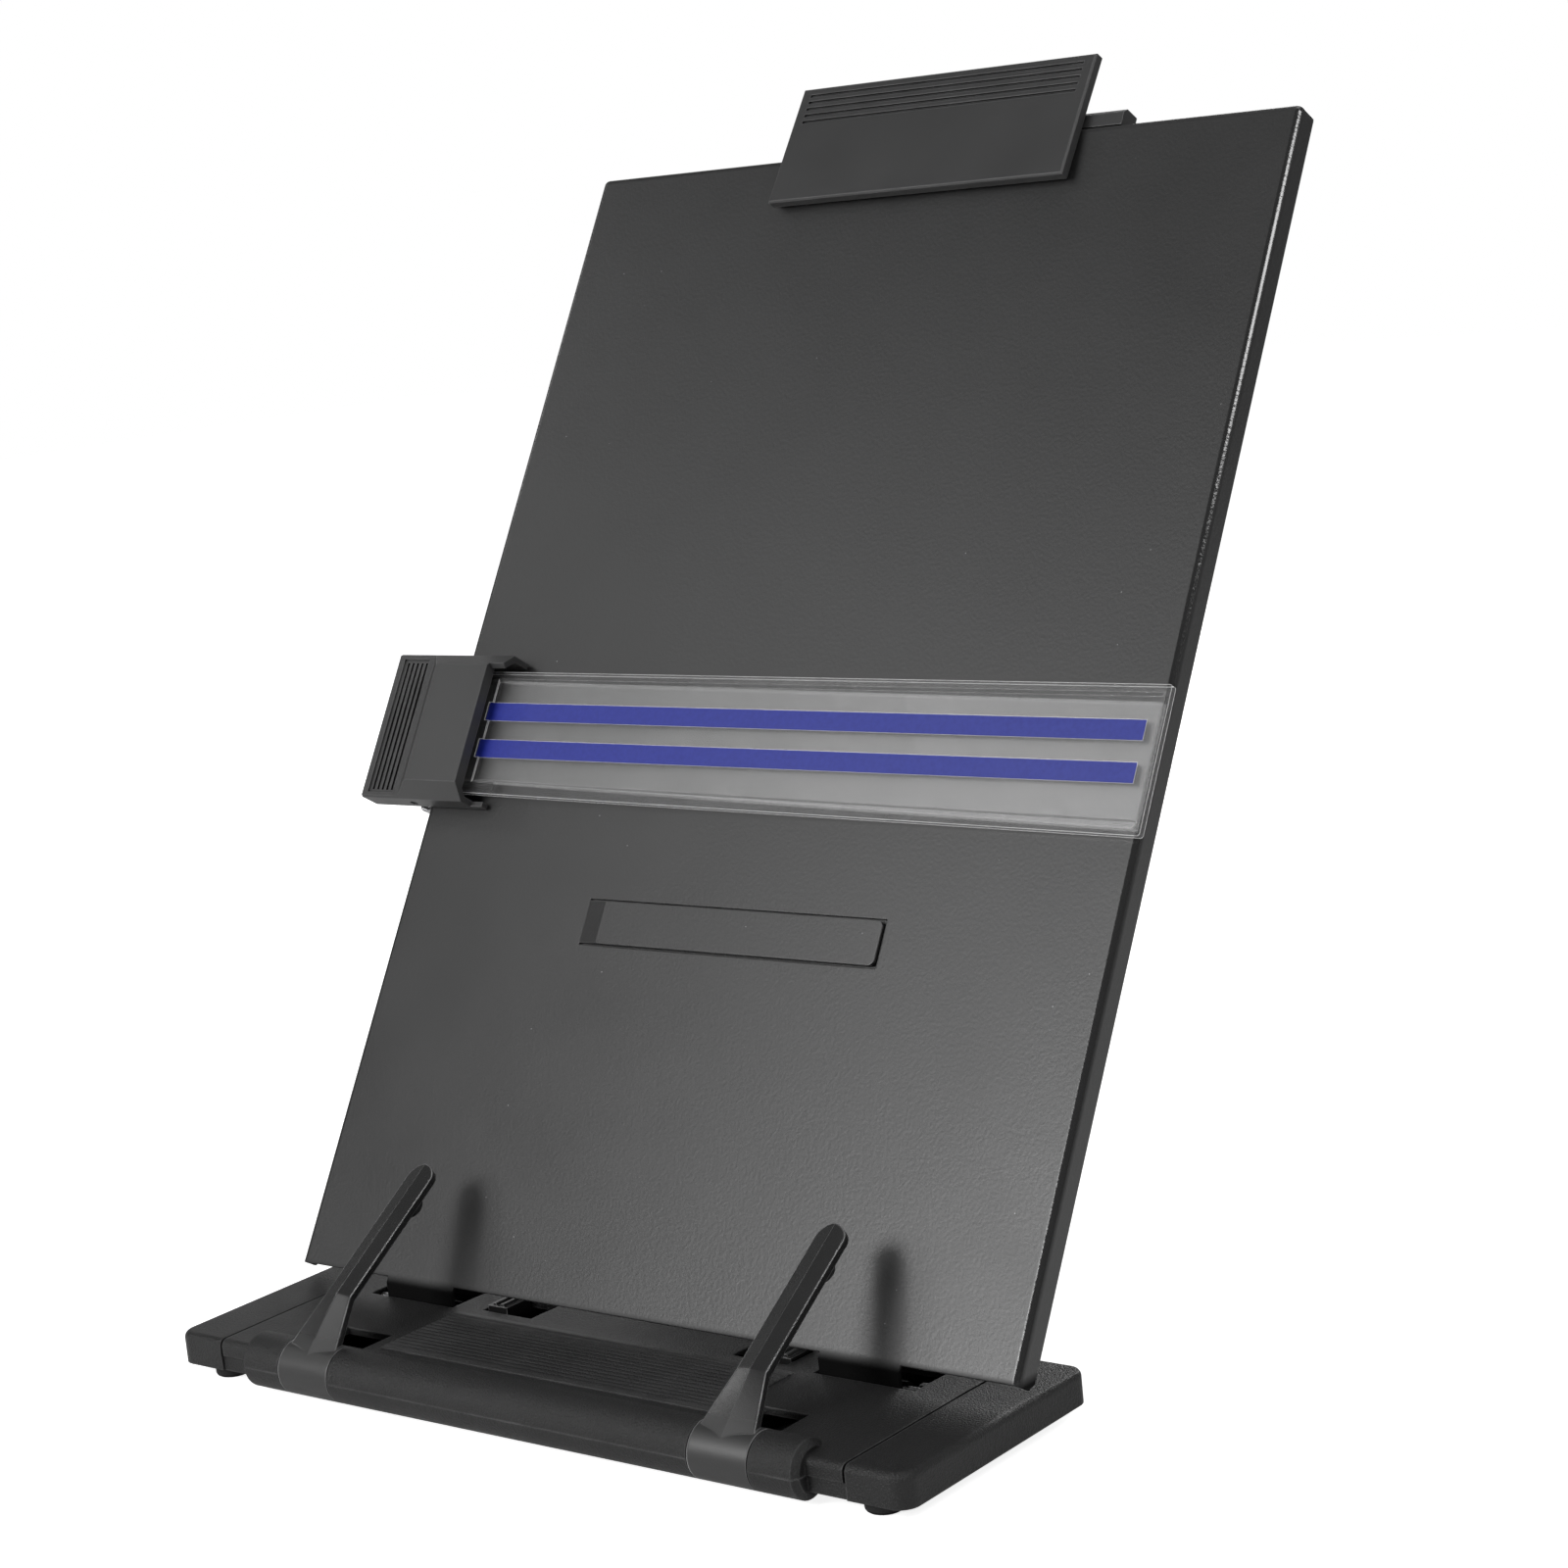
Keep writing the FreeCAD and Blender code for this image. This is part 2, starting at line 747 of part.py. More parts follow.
def finger_outline(bend, tip, high):
    """A thick plate with a round end, square to the finger."""
    length = math.hypot(tip[0] - bend[0], tip[1] - bend[1])
    radius = arm_width / 2
    depth = 4 * arm_thickness
    straight = block(-radius, radius, -arm_width, length - radius, -depth, depth)
    round_end = Part.makeCylinder(radius, 2 * depth, V(0, length - radius, -depth))
    plate = straight.fuse(round_end)
    plate.rotate(V(0, 0, 0), X_AXIS, math.degrees(math.atan2(high[1], high[0])))
    plate.translate(V(0, bend[0], bend[1]))
    return plate


def make_arm_pad():
    """The rubber button behind a finger's tip: a low drum under a cone."""
    bend, tip = arm_points()[1:]
    high = unit(tip[0] - bend[0], tip[1] - bend[1])
    half = arm_pad_height / 2
    drum = Part.makeCylinder(arm_pad_radius, half)
    cone = Part.makeCone(arm_pad_radius, arm_pad_radius * 0.6, half, V(0, 0, half))
    dome = fuse_all([drum, cone])
    dome.rotate(V(0, 0, 0), X_AXIS, 180 + math.degrees(math.atan2(high[1], high[0])))
    y = tip[0] - high[0] * arm_pad_setback + high[1] * arm_thickness
    z = tip[1] - high[1] * arm_pad_setback - high[0] * arm_thickness
    dome.translate(V(0, y + roll_y, z + roll_z))
    return dome


# Panel
def make_tab(side):
    """A hinge tab below the panel: a flat drop and a curl around the pin."""
    a, b = mirrored_pair(side, tab_inner, tab_outer)
    lean = math.radians(panel_lean)
    front = hinge_y - curl_radius
    inner_foot = (panel_foot_y + sheet * math.cos(lean), panel_foot_z - sheet * math.sin(lean))
    crease = panel_foot_z - (panel_foot_y - front) / math.tan(lean)
    inner_crease = inner_foot[1] - (inner_foot[0] - front - curl_thickness) / math.tan(lean)
    drop = prism_x(
        [(front, hinge_z), (front, crease), (panel_foot_y, panel_foot_z), inner_foot,
         (front + curl_thickness, inner_crease), (front + curl_thickness, hinge_z)], a, b)
    ring = rod(curl_radius, a, b, hinge_y, hinge_z).cut(rod(curl_bore, a, b, hinge_y, hinge_z))
    mouth = block(a, b, hinge_y - curl_radius, hinge_y, hinge_z, hinge_z + curl_radius)
    return ring.cut(mouth), drop


def folded_tray(inset, margin):
    """The outside, or with an inset the inside, of the folded sheet."""
    half = panel_width / 2 - inset
    top = panel_height - inset
    tray = block(-half, half, -margin, top, -margin, -inset)
    radius = bend_radius - inset
    corners = [e for e in tray.Edges if e.BoundBox.ZLength > margin / 2
               and abs(e.BoundBox.YMin - top) < 1e-4]
    tray = tray.makeFillet(radius, corners)
    rim = [e for e in edges_at(tray, "Z", -inset) if e.BoundBox.YMax > -margin + 1e-3]
    return tray.makeFillet(radius, rim)


def make_panel():
    """The sheet with its three flanges, lanced tongue and hinge tabs."""
    margin = 4 * flange_depth
    shell = folded_tray(0, margin).cut(folded_tray(sheet, margin + 1))
    half = panel_width / 2
    shell = shell.common(block(-half, half, 0, panel_height, -flange_depth, 1))
    wedge = prism_x(
        [(0, -flange_depth), (flange_corner_cut, -flange_depth),
         (0, -flange_depth + flange_corner_cut)], -half, half)
    shell = shell.cut(wedge)
    left = -tongue_left
    right = left + tongue_width
    bottom = tongue_bottom
    top = bottom + tongue_height
    slit = block(left, right + tongue_slit, bottom - tongue_slit, top + tongue_slit, -2 * sheet, sheet)
    shell = shell.cut(slit)
    knee = left + tongue_joggle
    tongue = prism_y(
        [(left - sheet, -sheet), (left, -sheet), (knee, tongue_rise - sheet),
         (right, tongue_rise - sheet), (right, tongue_rise), (knee, tongue_rise), (left, 0),
         (left - sheet, 0)], bottom, top)
    corners = [e for e in edges_at(tongue, "X", right) if e.BoundBox.ZLength > sheet / 2]
    tongue = tongue.makeFillet(tongue_corner, corners)
    shapes = [on_panel(shell.fuse(tongue).removeSplitter())]
    for side in SIDES.values():
        shapes += make_tab(side)
    return fuse_all(shapes)


def make_hinge_pins():
    """Steel pins held in the outer part of the tabs' curls."""
    pins = []
    for side in SIDES.values():
        a, b = mirrored_pair(side, hinge_pin_start, hinge_pin_end)
        pins.append(rod(hinge_pin_radius, a, b, hinge_y, hinge_z))
    return pins


# Leg
def leg_angle():
    """The leg's angle from upright, in degrees, with its foot on the desk."""
    pivot_z = point_on_panel(leg_pivot_s, -leg_pivot_back)[1]
    return math.degrees(math.acos((pivot_z - desk_z - leg_foot_radius) / leg_length))


def leg_heading():
    """The leg's direction in the panel's (s, h) plane, in degrees."""
    return leg_angle() - 90 - (90 - panel_lean)


def leg_ear(x0, x1):
    """One bent-up ear of the bracket with the pivot hole and the row of index holes."""
    ear = rounded_block(
        x0, x1, ear_bottom, bracket_bottom + bracket_height, -ear_depth, ear_corner,
        ear_corner, X_AXIS)
    ear = ear.common(block(x0, x1, ear_bottom, panel_height, -ear_depth, -sheet - bracket_sheet / 2))
    tools = [rod(leg_axle_radius, x0, x1, leg_pivot_s, -leg_pivot_back)]
    for i in range(index_count):
        turn = math.radians(leg_heading() + (i - index_count // 2) * index_step)
        s = leg_pivot_s + index_radius * math.cos(turn)
        h = -leg_pivot_back + index_radius * math.sin(turn)
        if h - index_hole_radius > -ear_depth + sheet:
            tools.append(rod(index_hole_radius, x0, x1, s, h))
    return cut_all(ear, tools)


def make_bracket():
    """The leg's bracket: a plate behind the sheet and two ears."""
    half = bracket_width / 2
    centre = tongue_width / 2 - tongue_left
    plate = rounded_block(
        centre - half, centre + half, bracket_bottom, bracket_bottom + bracket_height,
        -sheet - bracket_sheet, -sheet, ear_corner, Z_AXIS)
    shapes = [plate]
    for side in SIDES.values():
        inner = leg_width / 2 + side_gap
        a, b = mirrored_pair(side, inner, inner + bracket_sheet)
        shapes.append(leg_ear(a, b))
    return on_panel(fuse_all(shapes))


def make_rivets():
    """Rivet heads behind the bracket's plate."""
    rivets = []
    for x in (-rivet_spacing / 2, rivet_spacing / 2):
        for s in (bracket_bottom + ear_corner, bracket_bottom + bracket_height - ear_corner):
            base = -sheet - bracket_sheet - rivet_height
            rivet = Part.makeCylinder(rivet_radius, rivet_height, V(x, s, base))
            rivet = rivet.makeChamfer(rivet_height / 2, edges_at(rivet, "Z", base))
            rivets.append(on_panel(rivet))
    return rivets


def make_leg_axle():
    """The leg's axle with a head outside each ear."""
    face = leg_width / 2 + side_gap + bracket_sheet
    y, z = point_on_panel(leg_pivot_s, -leg_pivot_back)
    shapes = [rod(leg_axle_radius, -face, face, y, z)]
    shapes.append(rod(leg_axle_head, face, face + leg_axle_head_width, y, z))
    shapes.append(rod(leg_axle_head, -face - leg_axle_head_width, -face, y, z))
    return fuse_all(shapes)


def place_leg(shape):
    """Move a leg shape, drawn along +Y from its pivot, to its place."""
    placed = shape.copy()
    placed.rotate(V(0, 0, 0), X_AXIS, leg_angle() - 90)
    y, z = point_on_panel(leg_pivot_s, -leg_pivot_back)
    placed.translate(V(0, y, z))
    return placed


def make_leg():
    """The pressed leg: a channel with round flange ends and an axle hole."""
    half = leg_width / 2
    half_flange = leg_flange / 2
    end = leg_length - leg_foot_radius
    channel = block(-half, half, 0, end, -half_flange, half_flange)
    channel = channel.fuse(rod(half_flange, -half, half, 0, 0))
    hollow = block(
        -half + leg_sheet, half - leg_sheet, -leg_flange, end, -half_flange - 1, half_flange - leg_sheet)
    mouth = block(
        -half + leg_sheet, half - leg_sheet, -leg_flange, leg_web_start, -leg_flange, leg_flange)
    bore = rod(leg_axle_radius + running_gap, -half, half, 0, 0)
    return place_leg(cut_all(channel, [hollow, mouth, bore]))


def make_leg_foot():
    """The rubber foot inside the channel's end, round where it stands on the desk."""
    half = leg_foot_width / 2 - leg_sheet
    half_flange = leg_flange / 2
    start = leg_length - leg_foot_length
    end = leg_length - leg_foot_radius
    plug = block(-half, half, start, end, -half_flange, half_flange - leg_sheet)
    tread = rod(leg_foot_radius, -leg_foot_width / 2, leg_foot_width / 2, leg_length, 0)
    tread = tread.fuse(block(
        -leg_foot_width / 2, leg_foot_width / 2, end, leg_length, -leg_foot_radius, leg_foot_radius))
    return place_leg(fuse_all([plug, tread]))


# Clip
def jaw_front(s):
    """The height of the jaw's front face above the panel at a place up the panel."""
    share = (s - jaw_bottom) / jaw_height
    return jaw_front_bottom + share * (jaw_front_top - jaw_front_bottom)


def on_front_face(point):
    """Whether a place, in the panel's frame, is on the jaw's front face."""
    return abs(point.z - jaw_front(point.y)) < 1e-4


def make_jaw():
    """The wide jaw with finger grooves and two lugs for the pin."""
    x0 = clip_centre - jaw_width / 2
    x1 = clip_centre + jaw_width / 2
    top = jaw_bottom + jaw_height
    plate = prism_x(
        [(jaw_bottom, jaw_front(jaw_bottom) - jaw_thickness), (jaw_bottom, jaw_front(jaw_bottom)),
         (top, jaw_front(top)), (top, jaw_front(top) - jaw_thickness)], x0, x1)
    rim = [e for e in plate.Edges if on_front_face(e.valueAt(e.FirstParameter))
           and on_front_face(e.valueAt(e.LastParameter))]
    plate = plate.makeChamfer(jaw_bevel, rim)
    tools = []
    for i in range(groove_count):
        s = top - groove_top_margin - i * groove_pitch
        floor = jaw_front(s) - groove_depth
        wide = groove_pitch * 0.32
        tools.append(prism_x(
            [(s - wide / 2, floor), (s + wide / 2, floor), (s + wide, floor + 2), (s - wide, floor + 2)],
            x0 + groove_side_margin, x1 - groove_side_margin))
    shapes = [cut_all(plate, tools)]
    for side in SIDES.values():
        a = clip_centre + side * lug_spacing / 2 - lug_width / 2
        reach = jaw_front(clip_pin_s) - jaw_thickness / 2
        lug = rod(lug_radius, a, a + lug_width, clip_pin_s, clip_pin_h)
        web = block(a, a + lug_width, clip_pin_s - lug_radius, clip_pin_s + lug_radius, clip_pin_h, reach)
        shapes += [lug, web]
    body = fuse_all(shapes)
    bore = rod(clip_pin_radius + running_gap, x0, x1, clip_pin_s, clip_pin_h)
    return on_panel(body.cut(bore))


def make_lip():
    """The rubber lip under the jaw's lower edge."""
    x0 = clip_centre - jaw_width / 2 + lip_margin
    x1 = clip_centre + jaw_width / 2 - lip_margin
    low = jaw_bottom + lip_margin
    high = low + lip_height
    lip = prism_x(
        [(low, runner_gap), (low, jaw_front(low) - jaw_thickness),
         (high, jaw_front(high) - jaw_thickness), (high - lip_height / 3, runner_gap)], x0, x1)
    return on_panel(lip)


def clip_screw_places():
    """The x of the screws that hold the bar on the panel's top flange."""
    return bar_start + clip_screw_inset, bar_end - clip_screw_inset


def make_bar():
    """The bar on the panel's top flange, with the pin's lugs and the spring's pocket."""
    low = panel_height
    high = panel_height + bar_height
    back = bar_front - bar_depth
    bar = prism_x(
        [(low, back), (low, bar_front), (high - bar_bevel, bar_front), (high, bar_front - bar_bevel),
         (high, back)], bar_start, bar_end)
    shapes = [bar]
    for side in SIDES.values():
        inner = lug_spacing / 2 + lug_width / 2 + side_gap
        a, b = mirrored_pair(side, inner, inner + lug_width)
        a += clip_centre
        b += clip_centre
        shapes.append(rod(lug_radius, a, b, clip_pin_s, clip_pin_h))
        shapes.append(block(a, b, high - 1, clip_pin_s, clip_pin_h - lug_radius, clip_pin_h + lug_radius))
    body = fuse_all(shapes)
    tools = [rod(clip_pin_radius, bar_start, bar_end, clip_pin_s, clip_pin_h)]
    for side in SIDES.values():
        a = clip_centre + side * lug_spacing / 2 - lug_width / 2 - side_gap
        tools.append(rod(lug_radius + side_gap, a, a + lug_width + 2 * side_gap, clip_pin_s, clip_pin_h))
    half = clip_pocket_width / 2
    tools.append(block(clip_centre - half, clip_centre + half, high - clip_pocket_depth, high + 1,
                       back - 1, bar_front + 1))
    for x in clip_screw_places():
        centre = bar_front - bar_depth / 2
        tools.append(Part.makeCylinder(clip_screw_radius, bar_height, V(x, low, centre), Y_AXIS))
    return on_panel(cut_all(body, tools))


def make_clip_screws():
    """Flush screws through the bar into the top flange."""
    centre = bar_front - bar_depth / 2
    foot = panel_height + bar_height - clip_screw_length
    return [on_panel(Part.makeCylinder(clip_screw_radius, clip_screw_length, V(x, foot, centre), Y_AXIS))
            for x in clip_screw_places()]


def clip_screw_holes():
    """The holes for those screws, in the base's frame."""
    centre = bar_front - bar_depth / 2
    return [on_panel(Part.makeCylinder(
        clip_screw_radius, 4 * sheet, V(x, panel_height - 2 * sheet, centre), Y_AXIS))
        for x in clip_screw_places()]


def make_clip_pin():
    """The steel pin that the jaw turns on."""
    half = lug_spacing / 2 + lug_width * 1.5 + side_gap
    y, z = point_on_panel(clip_pin_s, clip_pin_h)
    return rod(clip_pin_radius, clip_centre - half, clip_centre + half, y, z)


def wire_arm(x, start, end):
    """A straight piece of spring wire between two (s, h) places."""
    run = V(0, end[0] - start[0], end[1] - start[1])
    return Part.makeCylinder(clip_wire / 2, run.Length, V(x, start[0], start[1]), run)


def make_clip_spring():
    """The torsion spring around the pin: one arm behind the jaw, one in the bar's pocket."""
    radius = clip_pin_radius + clip_coil_gap + clip_wire / 2
    length = clip_coil_turns * clip_wire * 1.25
    x0 = clip_centre - length / 2
    wound = coil(radius, clip_wire, x0, x0 + length, clip_coil_turns, clip_pin_s, clip_pin_h)
    tip_s = clip_pin_s + clip_arm_reach
    tip_h = jaw_front(tip_s) - jaw_thickness - clip_wire / 2 - 0.05
    front_arm = wire_arm(x0 + length, (clip_pin_s, clip_pin_h + radius), (tip_s, tip_h))
    rear = clip_pin_h - radius
    rear_arm = wire_arm(x0, (clip_pin_s, rear), (clip_pin_s - clip_arm_drop, rear))
    return on_panel(fuse_all([wound, front_arm, rear_arm]))


# Line guide
def ruler_tilt(shape):
    """Droop a shape towards the panel's right edge, with the ruler."""
    placed = shape.copy()
    placed.rotate(V(ruler_pivot, 0, ruler_lift), Y_AXIS, ruler_droop)
    return placed


def block_profile(inset, floor):
    """The guide block's outline across the panel, in (x, h)."""
    slope = math.atan2(block_raised - block_face, block_slope_left - block_slope_right)
    shift = inset * math.tan(slope / 2)
    right = -block_right + (1 if inset else 0)
    return [
        (-block_left + inset, floor), (-block_left + inset, block_face - inset),
        (-block_slope_left + shift, block_face - inset),
        (-block_slope_right + shift, block_raised - inset),
        (right, block_raised - inset), (right, floor)]


def block_solid(inset, floor):
    """The guide block's outside, or its inside, with the chamfered ends."""
    body = prism_y(block_profile(inset, floor), guide_bottom + inset, guide_top - inset)
    drop = block_chamfer - inset * (math.sqrt(2) - 1)
    low = guide_bottom + inset
    high = guide_top - inset
    face = block_raised - inset
    flat = prism_x(
        [(low, floor), (high, floor), (high, face - drop), (high - drop, face), (low + drop, face),
         (low, face - drop)], -block_left, -block_right + 1)
    return body.common(flat)


def ruler_bottom(x):
    """The s of the ruler's lower edge, which falls towards its right end."""
    share = (x + ruler_left) / (ruler_right + ruler_left)
    return ruler_top - ruler_height - share * ruler_taper


def boss_limits():
    """The s of the lower and upper ends of the clamp and of the bosses over it."""
    return guide_bottom + clamp_inset, guide_top - clamp_inset


def make_hook():
    """The claw over the ruler's upper edge, which carries on the block's bevelled end."""
    face = block_raised - block_chamfer * (1 - hook_share)
    step = block_wall * math.sqrt(0.5)
    crest = guide_top - block_chamfer * hook_share
    inner = block_raised - block_wall - block_chamfer + block_wall * (math.sqrt(2) - 1)
    return prism_x(
        [(guide_top, block_floor_gap), (guide_top, block_raised - block_chamfer), (crest, face),
         (crest - step, face - step), (guide_top - block_wall, inner),
         (guide_top - block_wall, block_floor_gap)], -block_right - 1, -block_right + hook_length)


def make_guide_block():
    """The slider's block: a hollow moulding with a grooved thumb field, a rail and a hook."""
    outside = block_solid(0, block_floor_gap)
    right = -block_right
    end_slab = block(right - block_wall, right, guide_bottom, guide_top,
                     block_raised - block_end_depth, block_raised)
    shapes = [outside.cut(block_solid(block_wall, -1)), outside.common(end_slab), make_hook()]
    s0, s1 = boss_limits()
    boss = 2 * (clamp_screw_radius + boss_wall)
    for s in (s0, s1 - boss):
        shapes.append(block(-ruler_left, -ruler_left + boss_width, s, s + boss,
                            ruler_lift, block_raised - block_wall / 2))
    shapes.append(block(right - 1, right + rail_length, guide_bottom, guide_bottom + rail_thickness,
                        block_floor_gap, rail_top))
    body = fuse_all(shapes)
    tools = [ruler_tilt(block(-ruler_left, block_left, ruler_bottom(-block_right), ruler_top,
                              0, ruler_lift + ruler_thickness))]
    middle = guide_bottom + guide_height / 2
    left = thumb_margin - block_left
    field = block(left, left + thumb_width, middle - thumb_height / 2, middle + thumb_height / 2,
                  block_face - thumb_recess, block_face + 1)
    tools.append(field)
    pitch = thumb_width / (thumb_groove_count + 0.5)
    for i in range(thumb_groove_count):
        x = left + pitch * (i + 0.6)
        tools.append(block(
            x, x + thumb_groove_width, middle - thumb_height / 2 + 1, middle + thumb_height / 2 - 1,
            block_face - thumb_recess - thumb_groove_depth, block_face))
    tools.append(Part.makeCylinder(
        guide_pin_radius + running_gap, guide_height, V(-guide_pin_x, guide_bottom, guide_pin_h), Y_AXIS))
    for x, s in clamp_screw_places():
        tools.append(ruler_tilt(Part.makeCylinder(
            clamp_screw_radius, block_raised / 2, V(x, s, 0))))
    return on_panel(cut_all(body, tools))


def clamp_screw_places():
    """The (x, s) of the two screws through the clamp and the ruler."""
    x = -ruler_left + boss_width / 2
    s0, s1 = boss_limits()
    margin = clamp_screw_radius + boss_wall
    return (x, s0 + margin), (x, s1 - margin)


def make_ruler():
    """The clear ruler: a bar with a raised rim round a slightly sunk face."""
    left = -ruler_left
    face = ruler_lift + ruler_thickness
    slab = prism_z(
        [(left, ruler_bottom(left)), (ruler_right, ruler_bottom(ruler_right)),
         (ruler_right, ruler_top), (left, ruler_top)], ruler_lift, face)
    upright = [e for e in slab.Edges if e.BoundBox.ZLength > ruler_thickness / 2]
    slab = slab.makeFillet(ruler_corner, upright)
    tools = [rim_recess(face)]
    for low in line_bottoms:
        tools.append(block(-line_left, line_right, low, low + line_height,
                           face - ruler_rim_depth - line_film, face))
    for x, s in clamp_screw_places():
        tools.append(Part.makeCylinder(clamp_screw_radius, block_raised, V(x, s, 0)))
    return on_panel(ruler_tilt(cut_all(slab, tools)))


def rim_recess(face):
    """The sunk middle of the ruler's face, with sloping sides."""
    def ring(spread, h):
        start = -block_right
        end = ruler_right - ruler_rim_end + spread
        high = ruler_top - ruler_rim_top + spread
        low = ruler_rim_bottom - spread
        corners = [V(start, ruler_bottom(start) + low, h), V(end, ruler_bottom(end) + low, h),
                   V(end, high, h), V(start, high, h)]
        return Part.makePolygon(corners + corners[:1])

    return Part.makeLoft([ring(0, face - ruler_rim_depth), ring(2 * ruler_rim_depth, face)], True, True)


def make_lines():
    """Two coloured reading lines let into the ruler's face."""
    face = ruler_lift + ruler_thickness - ruler_rim_depth
    films = []
    for low in line_bottoms:
        film = block(-line_left, line_right, low, low + line_height, face - line_film, face)
        films.append(on_panel(ruler_tilt(film)))
    return films


def make_clamp():
    """The plate under the ruler's end, with a tab past the block."""
    s0, s1 = boss_limits()
    low = ruler_lift - clamp_thickness
    end = -block_right - line_start
    plate = block(-ruler_left, end, s0, s1, low, ruler_lift)
    tab = block(end - 1, -block_right + clamp_tab_width, s0, s0 + clamp_tab_height, low, ruler_lift)
    body = fuse_all([plate, tab])
    holes = [Part.makeCylinder(clamp_screw_radius, ruler_lift, V(x, s, 0))
             for x, s in clamp_screw_places()]
    return on_panel(ruler_tilt(cut_all(body, holes)))


def make_clamp_screws():
    """Screws that pull the clamp and the ruler up to the block's bosses."""
    screws = []
    for x, s in clamp_screw_places():
        low = ruler_lift - clamp_thickness
        shank = Part.makeCylinder(clamp_screw_radius, block_raised / 2 - low, V(x, s, low))
        screws.append(on_panel(ruler_tilt(shank)))
    return screws


# Carriage
def make_carriage():
    """The runner around the panel's flange, with the pin's barrel along its front."""
    low = guide_bottom + runner_inset
    high = guide_top - runner_inset
    edge = panel_edge
    outer = -runner_left
    inner = -runner_inner
    front = runner_gap + runner_lip
    back = -flange_depth - runner_gap - runner_lip
    section = prism_y(
        [(outer, back), (inner, back), (inner, back + runner_hook),
         (-edge + sheet + runner_gap, back + runner_hook),
         (-edge + sheet + runner_gap, -flange_depth - runner_gap),
         (-edge - runner_gap, -flange_depth - runner_gap), (-edge - runner_gap, runner_gap),
         (inner, runner_gap), (inner, front), (outer, front)], low, high)
    barrel = Part.makeCylinder(knuckle_radius, high - low, V(-guide_pin_x, low, guide_pin_h), Y_AXIS)
    neck = block(-guide_pin_x - runner_lip / 2, -guide_pin_x + runner_lip / 2, low, high,
                 runner_gap + runner_lip / 2, guide_pin_h)
    body = fuse_all([section, barrel, neck])
    bore = Part.makeCylinder(guide_pin_radius, high - low, V(-guide_pin_x, low, guide_pin_h), Y_AXIS)
    middle = leaf_middle()
    pocket = block(-edge - 2 * runner_gap - leaf_bow, -edge, low, high,
                   middle - leaf_width / 2 - runner_gap, middle + leaf_width / 2 + runner_gap)
    return on_panel(cut_all(body, [bore, pocket]))


def leaf_middle():
    """The leaf spring's height across the flange."""
    return -flange_depth / 2


def make_leaf():
    """The bowed leaf between runner and flange, curled round the runner's lower end."""
    low = guide_bottom + runner_inset
    high = guide_top - runner_inset
    middle = leaf_middle()
    edge = -panel_edge - leaf_touch
    seat = edge - leaf_thickness - leaf_bow
    front = [V(seat + leaf_thickness, low, 0), V(edge, (low + high) / 2, 0), V(seat + leaf_thickness, high, 0)]
    back = [V(seat, high, 0), V(edge - leaf_thickness, (low + high) / 2, 0), V(seat, low, 0)]
    turn = math.radians(leaf_curl_turn)
    small = leaf_curl_radius
    large = leaf_curl_radius + leaf_thickness
    centre = V(seat - small, low - 0.5, 0)

    def on_curl(radius, angle):
        return centre + V(radius * math.cos(angle), -radius * math.sin(angle), 0)

    start_out = on_curl(large, 0)
    start_in = on_curl(small, 0)
    end_out = on_curl(large, turn)
    end_in = on_curl(small, turn)
    edges = [
        Part.Arc(*front).toShape(), Part.makeLine(front[2], back[0]), Part.Arc(*back).toShape(),
        Part.makeLine(back[2], start_in),
        Part.Arc(start_in, on_curl(small, turn / 2), end_in).toShape(),
        Part.makeLine(end_in, end_out),
        Part.Arc(end_out, on_curl(large, turn / 2), start_out).toShape(),
        Part.makeLine(start_out, front[0])]
    outline = Part.Wire(Part.__sortEdges__(edges))
    leaf = Part.Face(outline).extrude(V(0, 0, leaf_width))
    leaf.translate(V(0, 0, middle - leaf_width / 2))
    return on_panel(leaf)


def make_guide_pin():
    """The pin on which the guide block rocks."""
    reach = runner_inset - block_wall * 0.25
    low = guide_bottom + runner_inset - reach
    length = guide_height - 2 * (runner_inset - reach)
    return on_panel(Part.makeCylinder(
        guide_pin_radius, length, V(-guide_pin_x, low, guide_pin_h), Y_AXIS))


def main():
    """Build every sub-part and write it."""
    os.makedirs("parts", exist_ok=True)
    save("base_top", make_base_top())
    save("base_bottom", make_base_bottom())
    save("ledge_pad", make_rest())
    save("base_feet", *make_feet())
    save("base_screws", *make_base_screws())
    save("arm_axle", axle_bore())
    arm = make_arm()
    pad = make_arm_pad()
    for name, side in SIDES.items():
        save("end_cap_" + name, make_end_cap(side))
        save("latch_" + name, make_latch(side))
        save("latch_bolt_" + name, make_latch_bolt(side))
        save("latch_spring_" + name, make_latch_spring(side))
        for node, shape in (("arm_", arm), ("arm_pad_", pad)):
            placed = shape.copy()
            placed.translate(V(side * arm_x, 0, 0))
            save(node + name, placed)
    save("panel_sheet", cut_all(make_panel(), clip_screw_holes()))
    save("hinge_pins", *make_hinge_pins())
    save("leg_bracket", make_bracket())
    save("bracket_rivets", *make_rivets())
    save("leg_axle", make_leg_axle())
    save("leg_plate", make_leg())
    save("leg_foot", make_leg_foot())
    save("clip_bar", make_bar())
    save("clip_screws", *make_clip_screws())
    save("clip_pin", make_clip_pin())
    save("clip_jaw", make_jaw())
    save("clip_lip", make_lip())
    save("clip_spring", make_clip_spring())
    save("guide_carriage", make_carriage())
    save("guide_spring", make_leaf())
    save("guide_pin", make_guide_pin())
    save("guide_block", make_guide_block())
    save("ruler", make_ruler())
    save("ruler_lines", *make_lines())
    save("ruler_clamp", make_clamp())
    save("clamp_screws", *make_clamp_screws())


main()
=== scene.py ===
"""Looks of the copy holder with a line guide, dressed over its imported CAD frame."""
import math

import bmesh
import bpy
from mathutils import Matrix, Vector


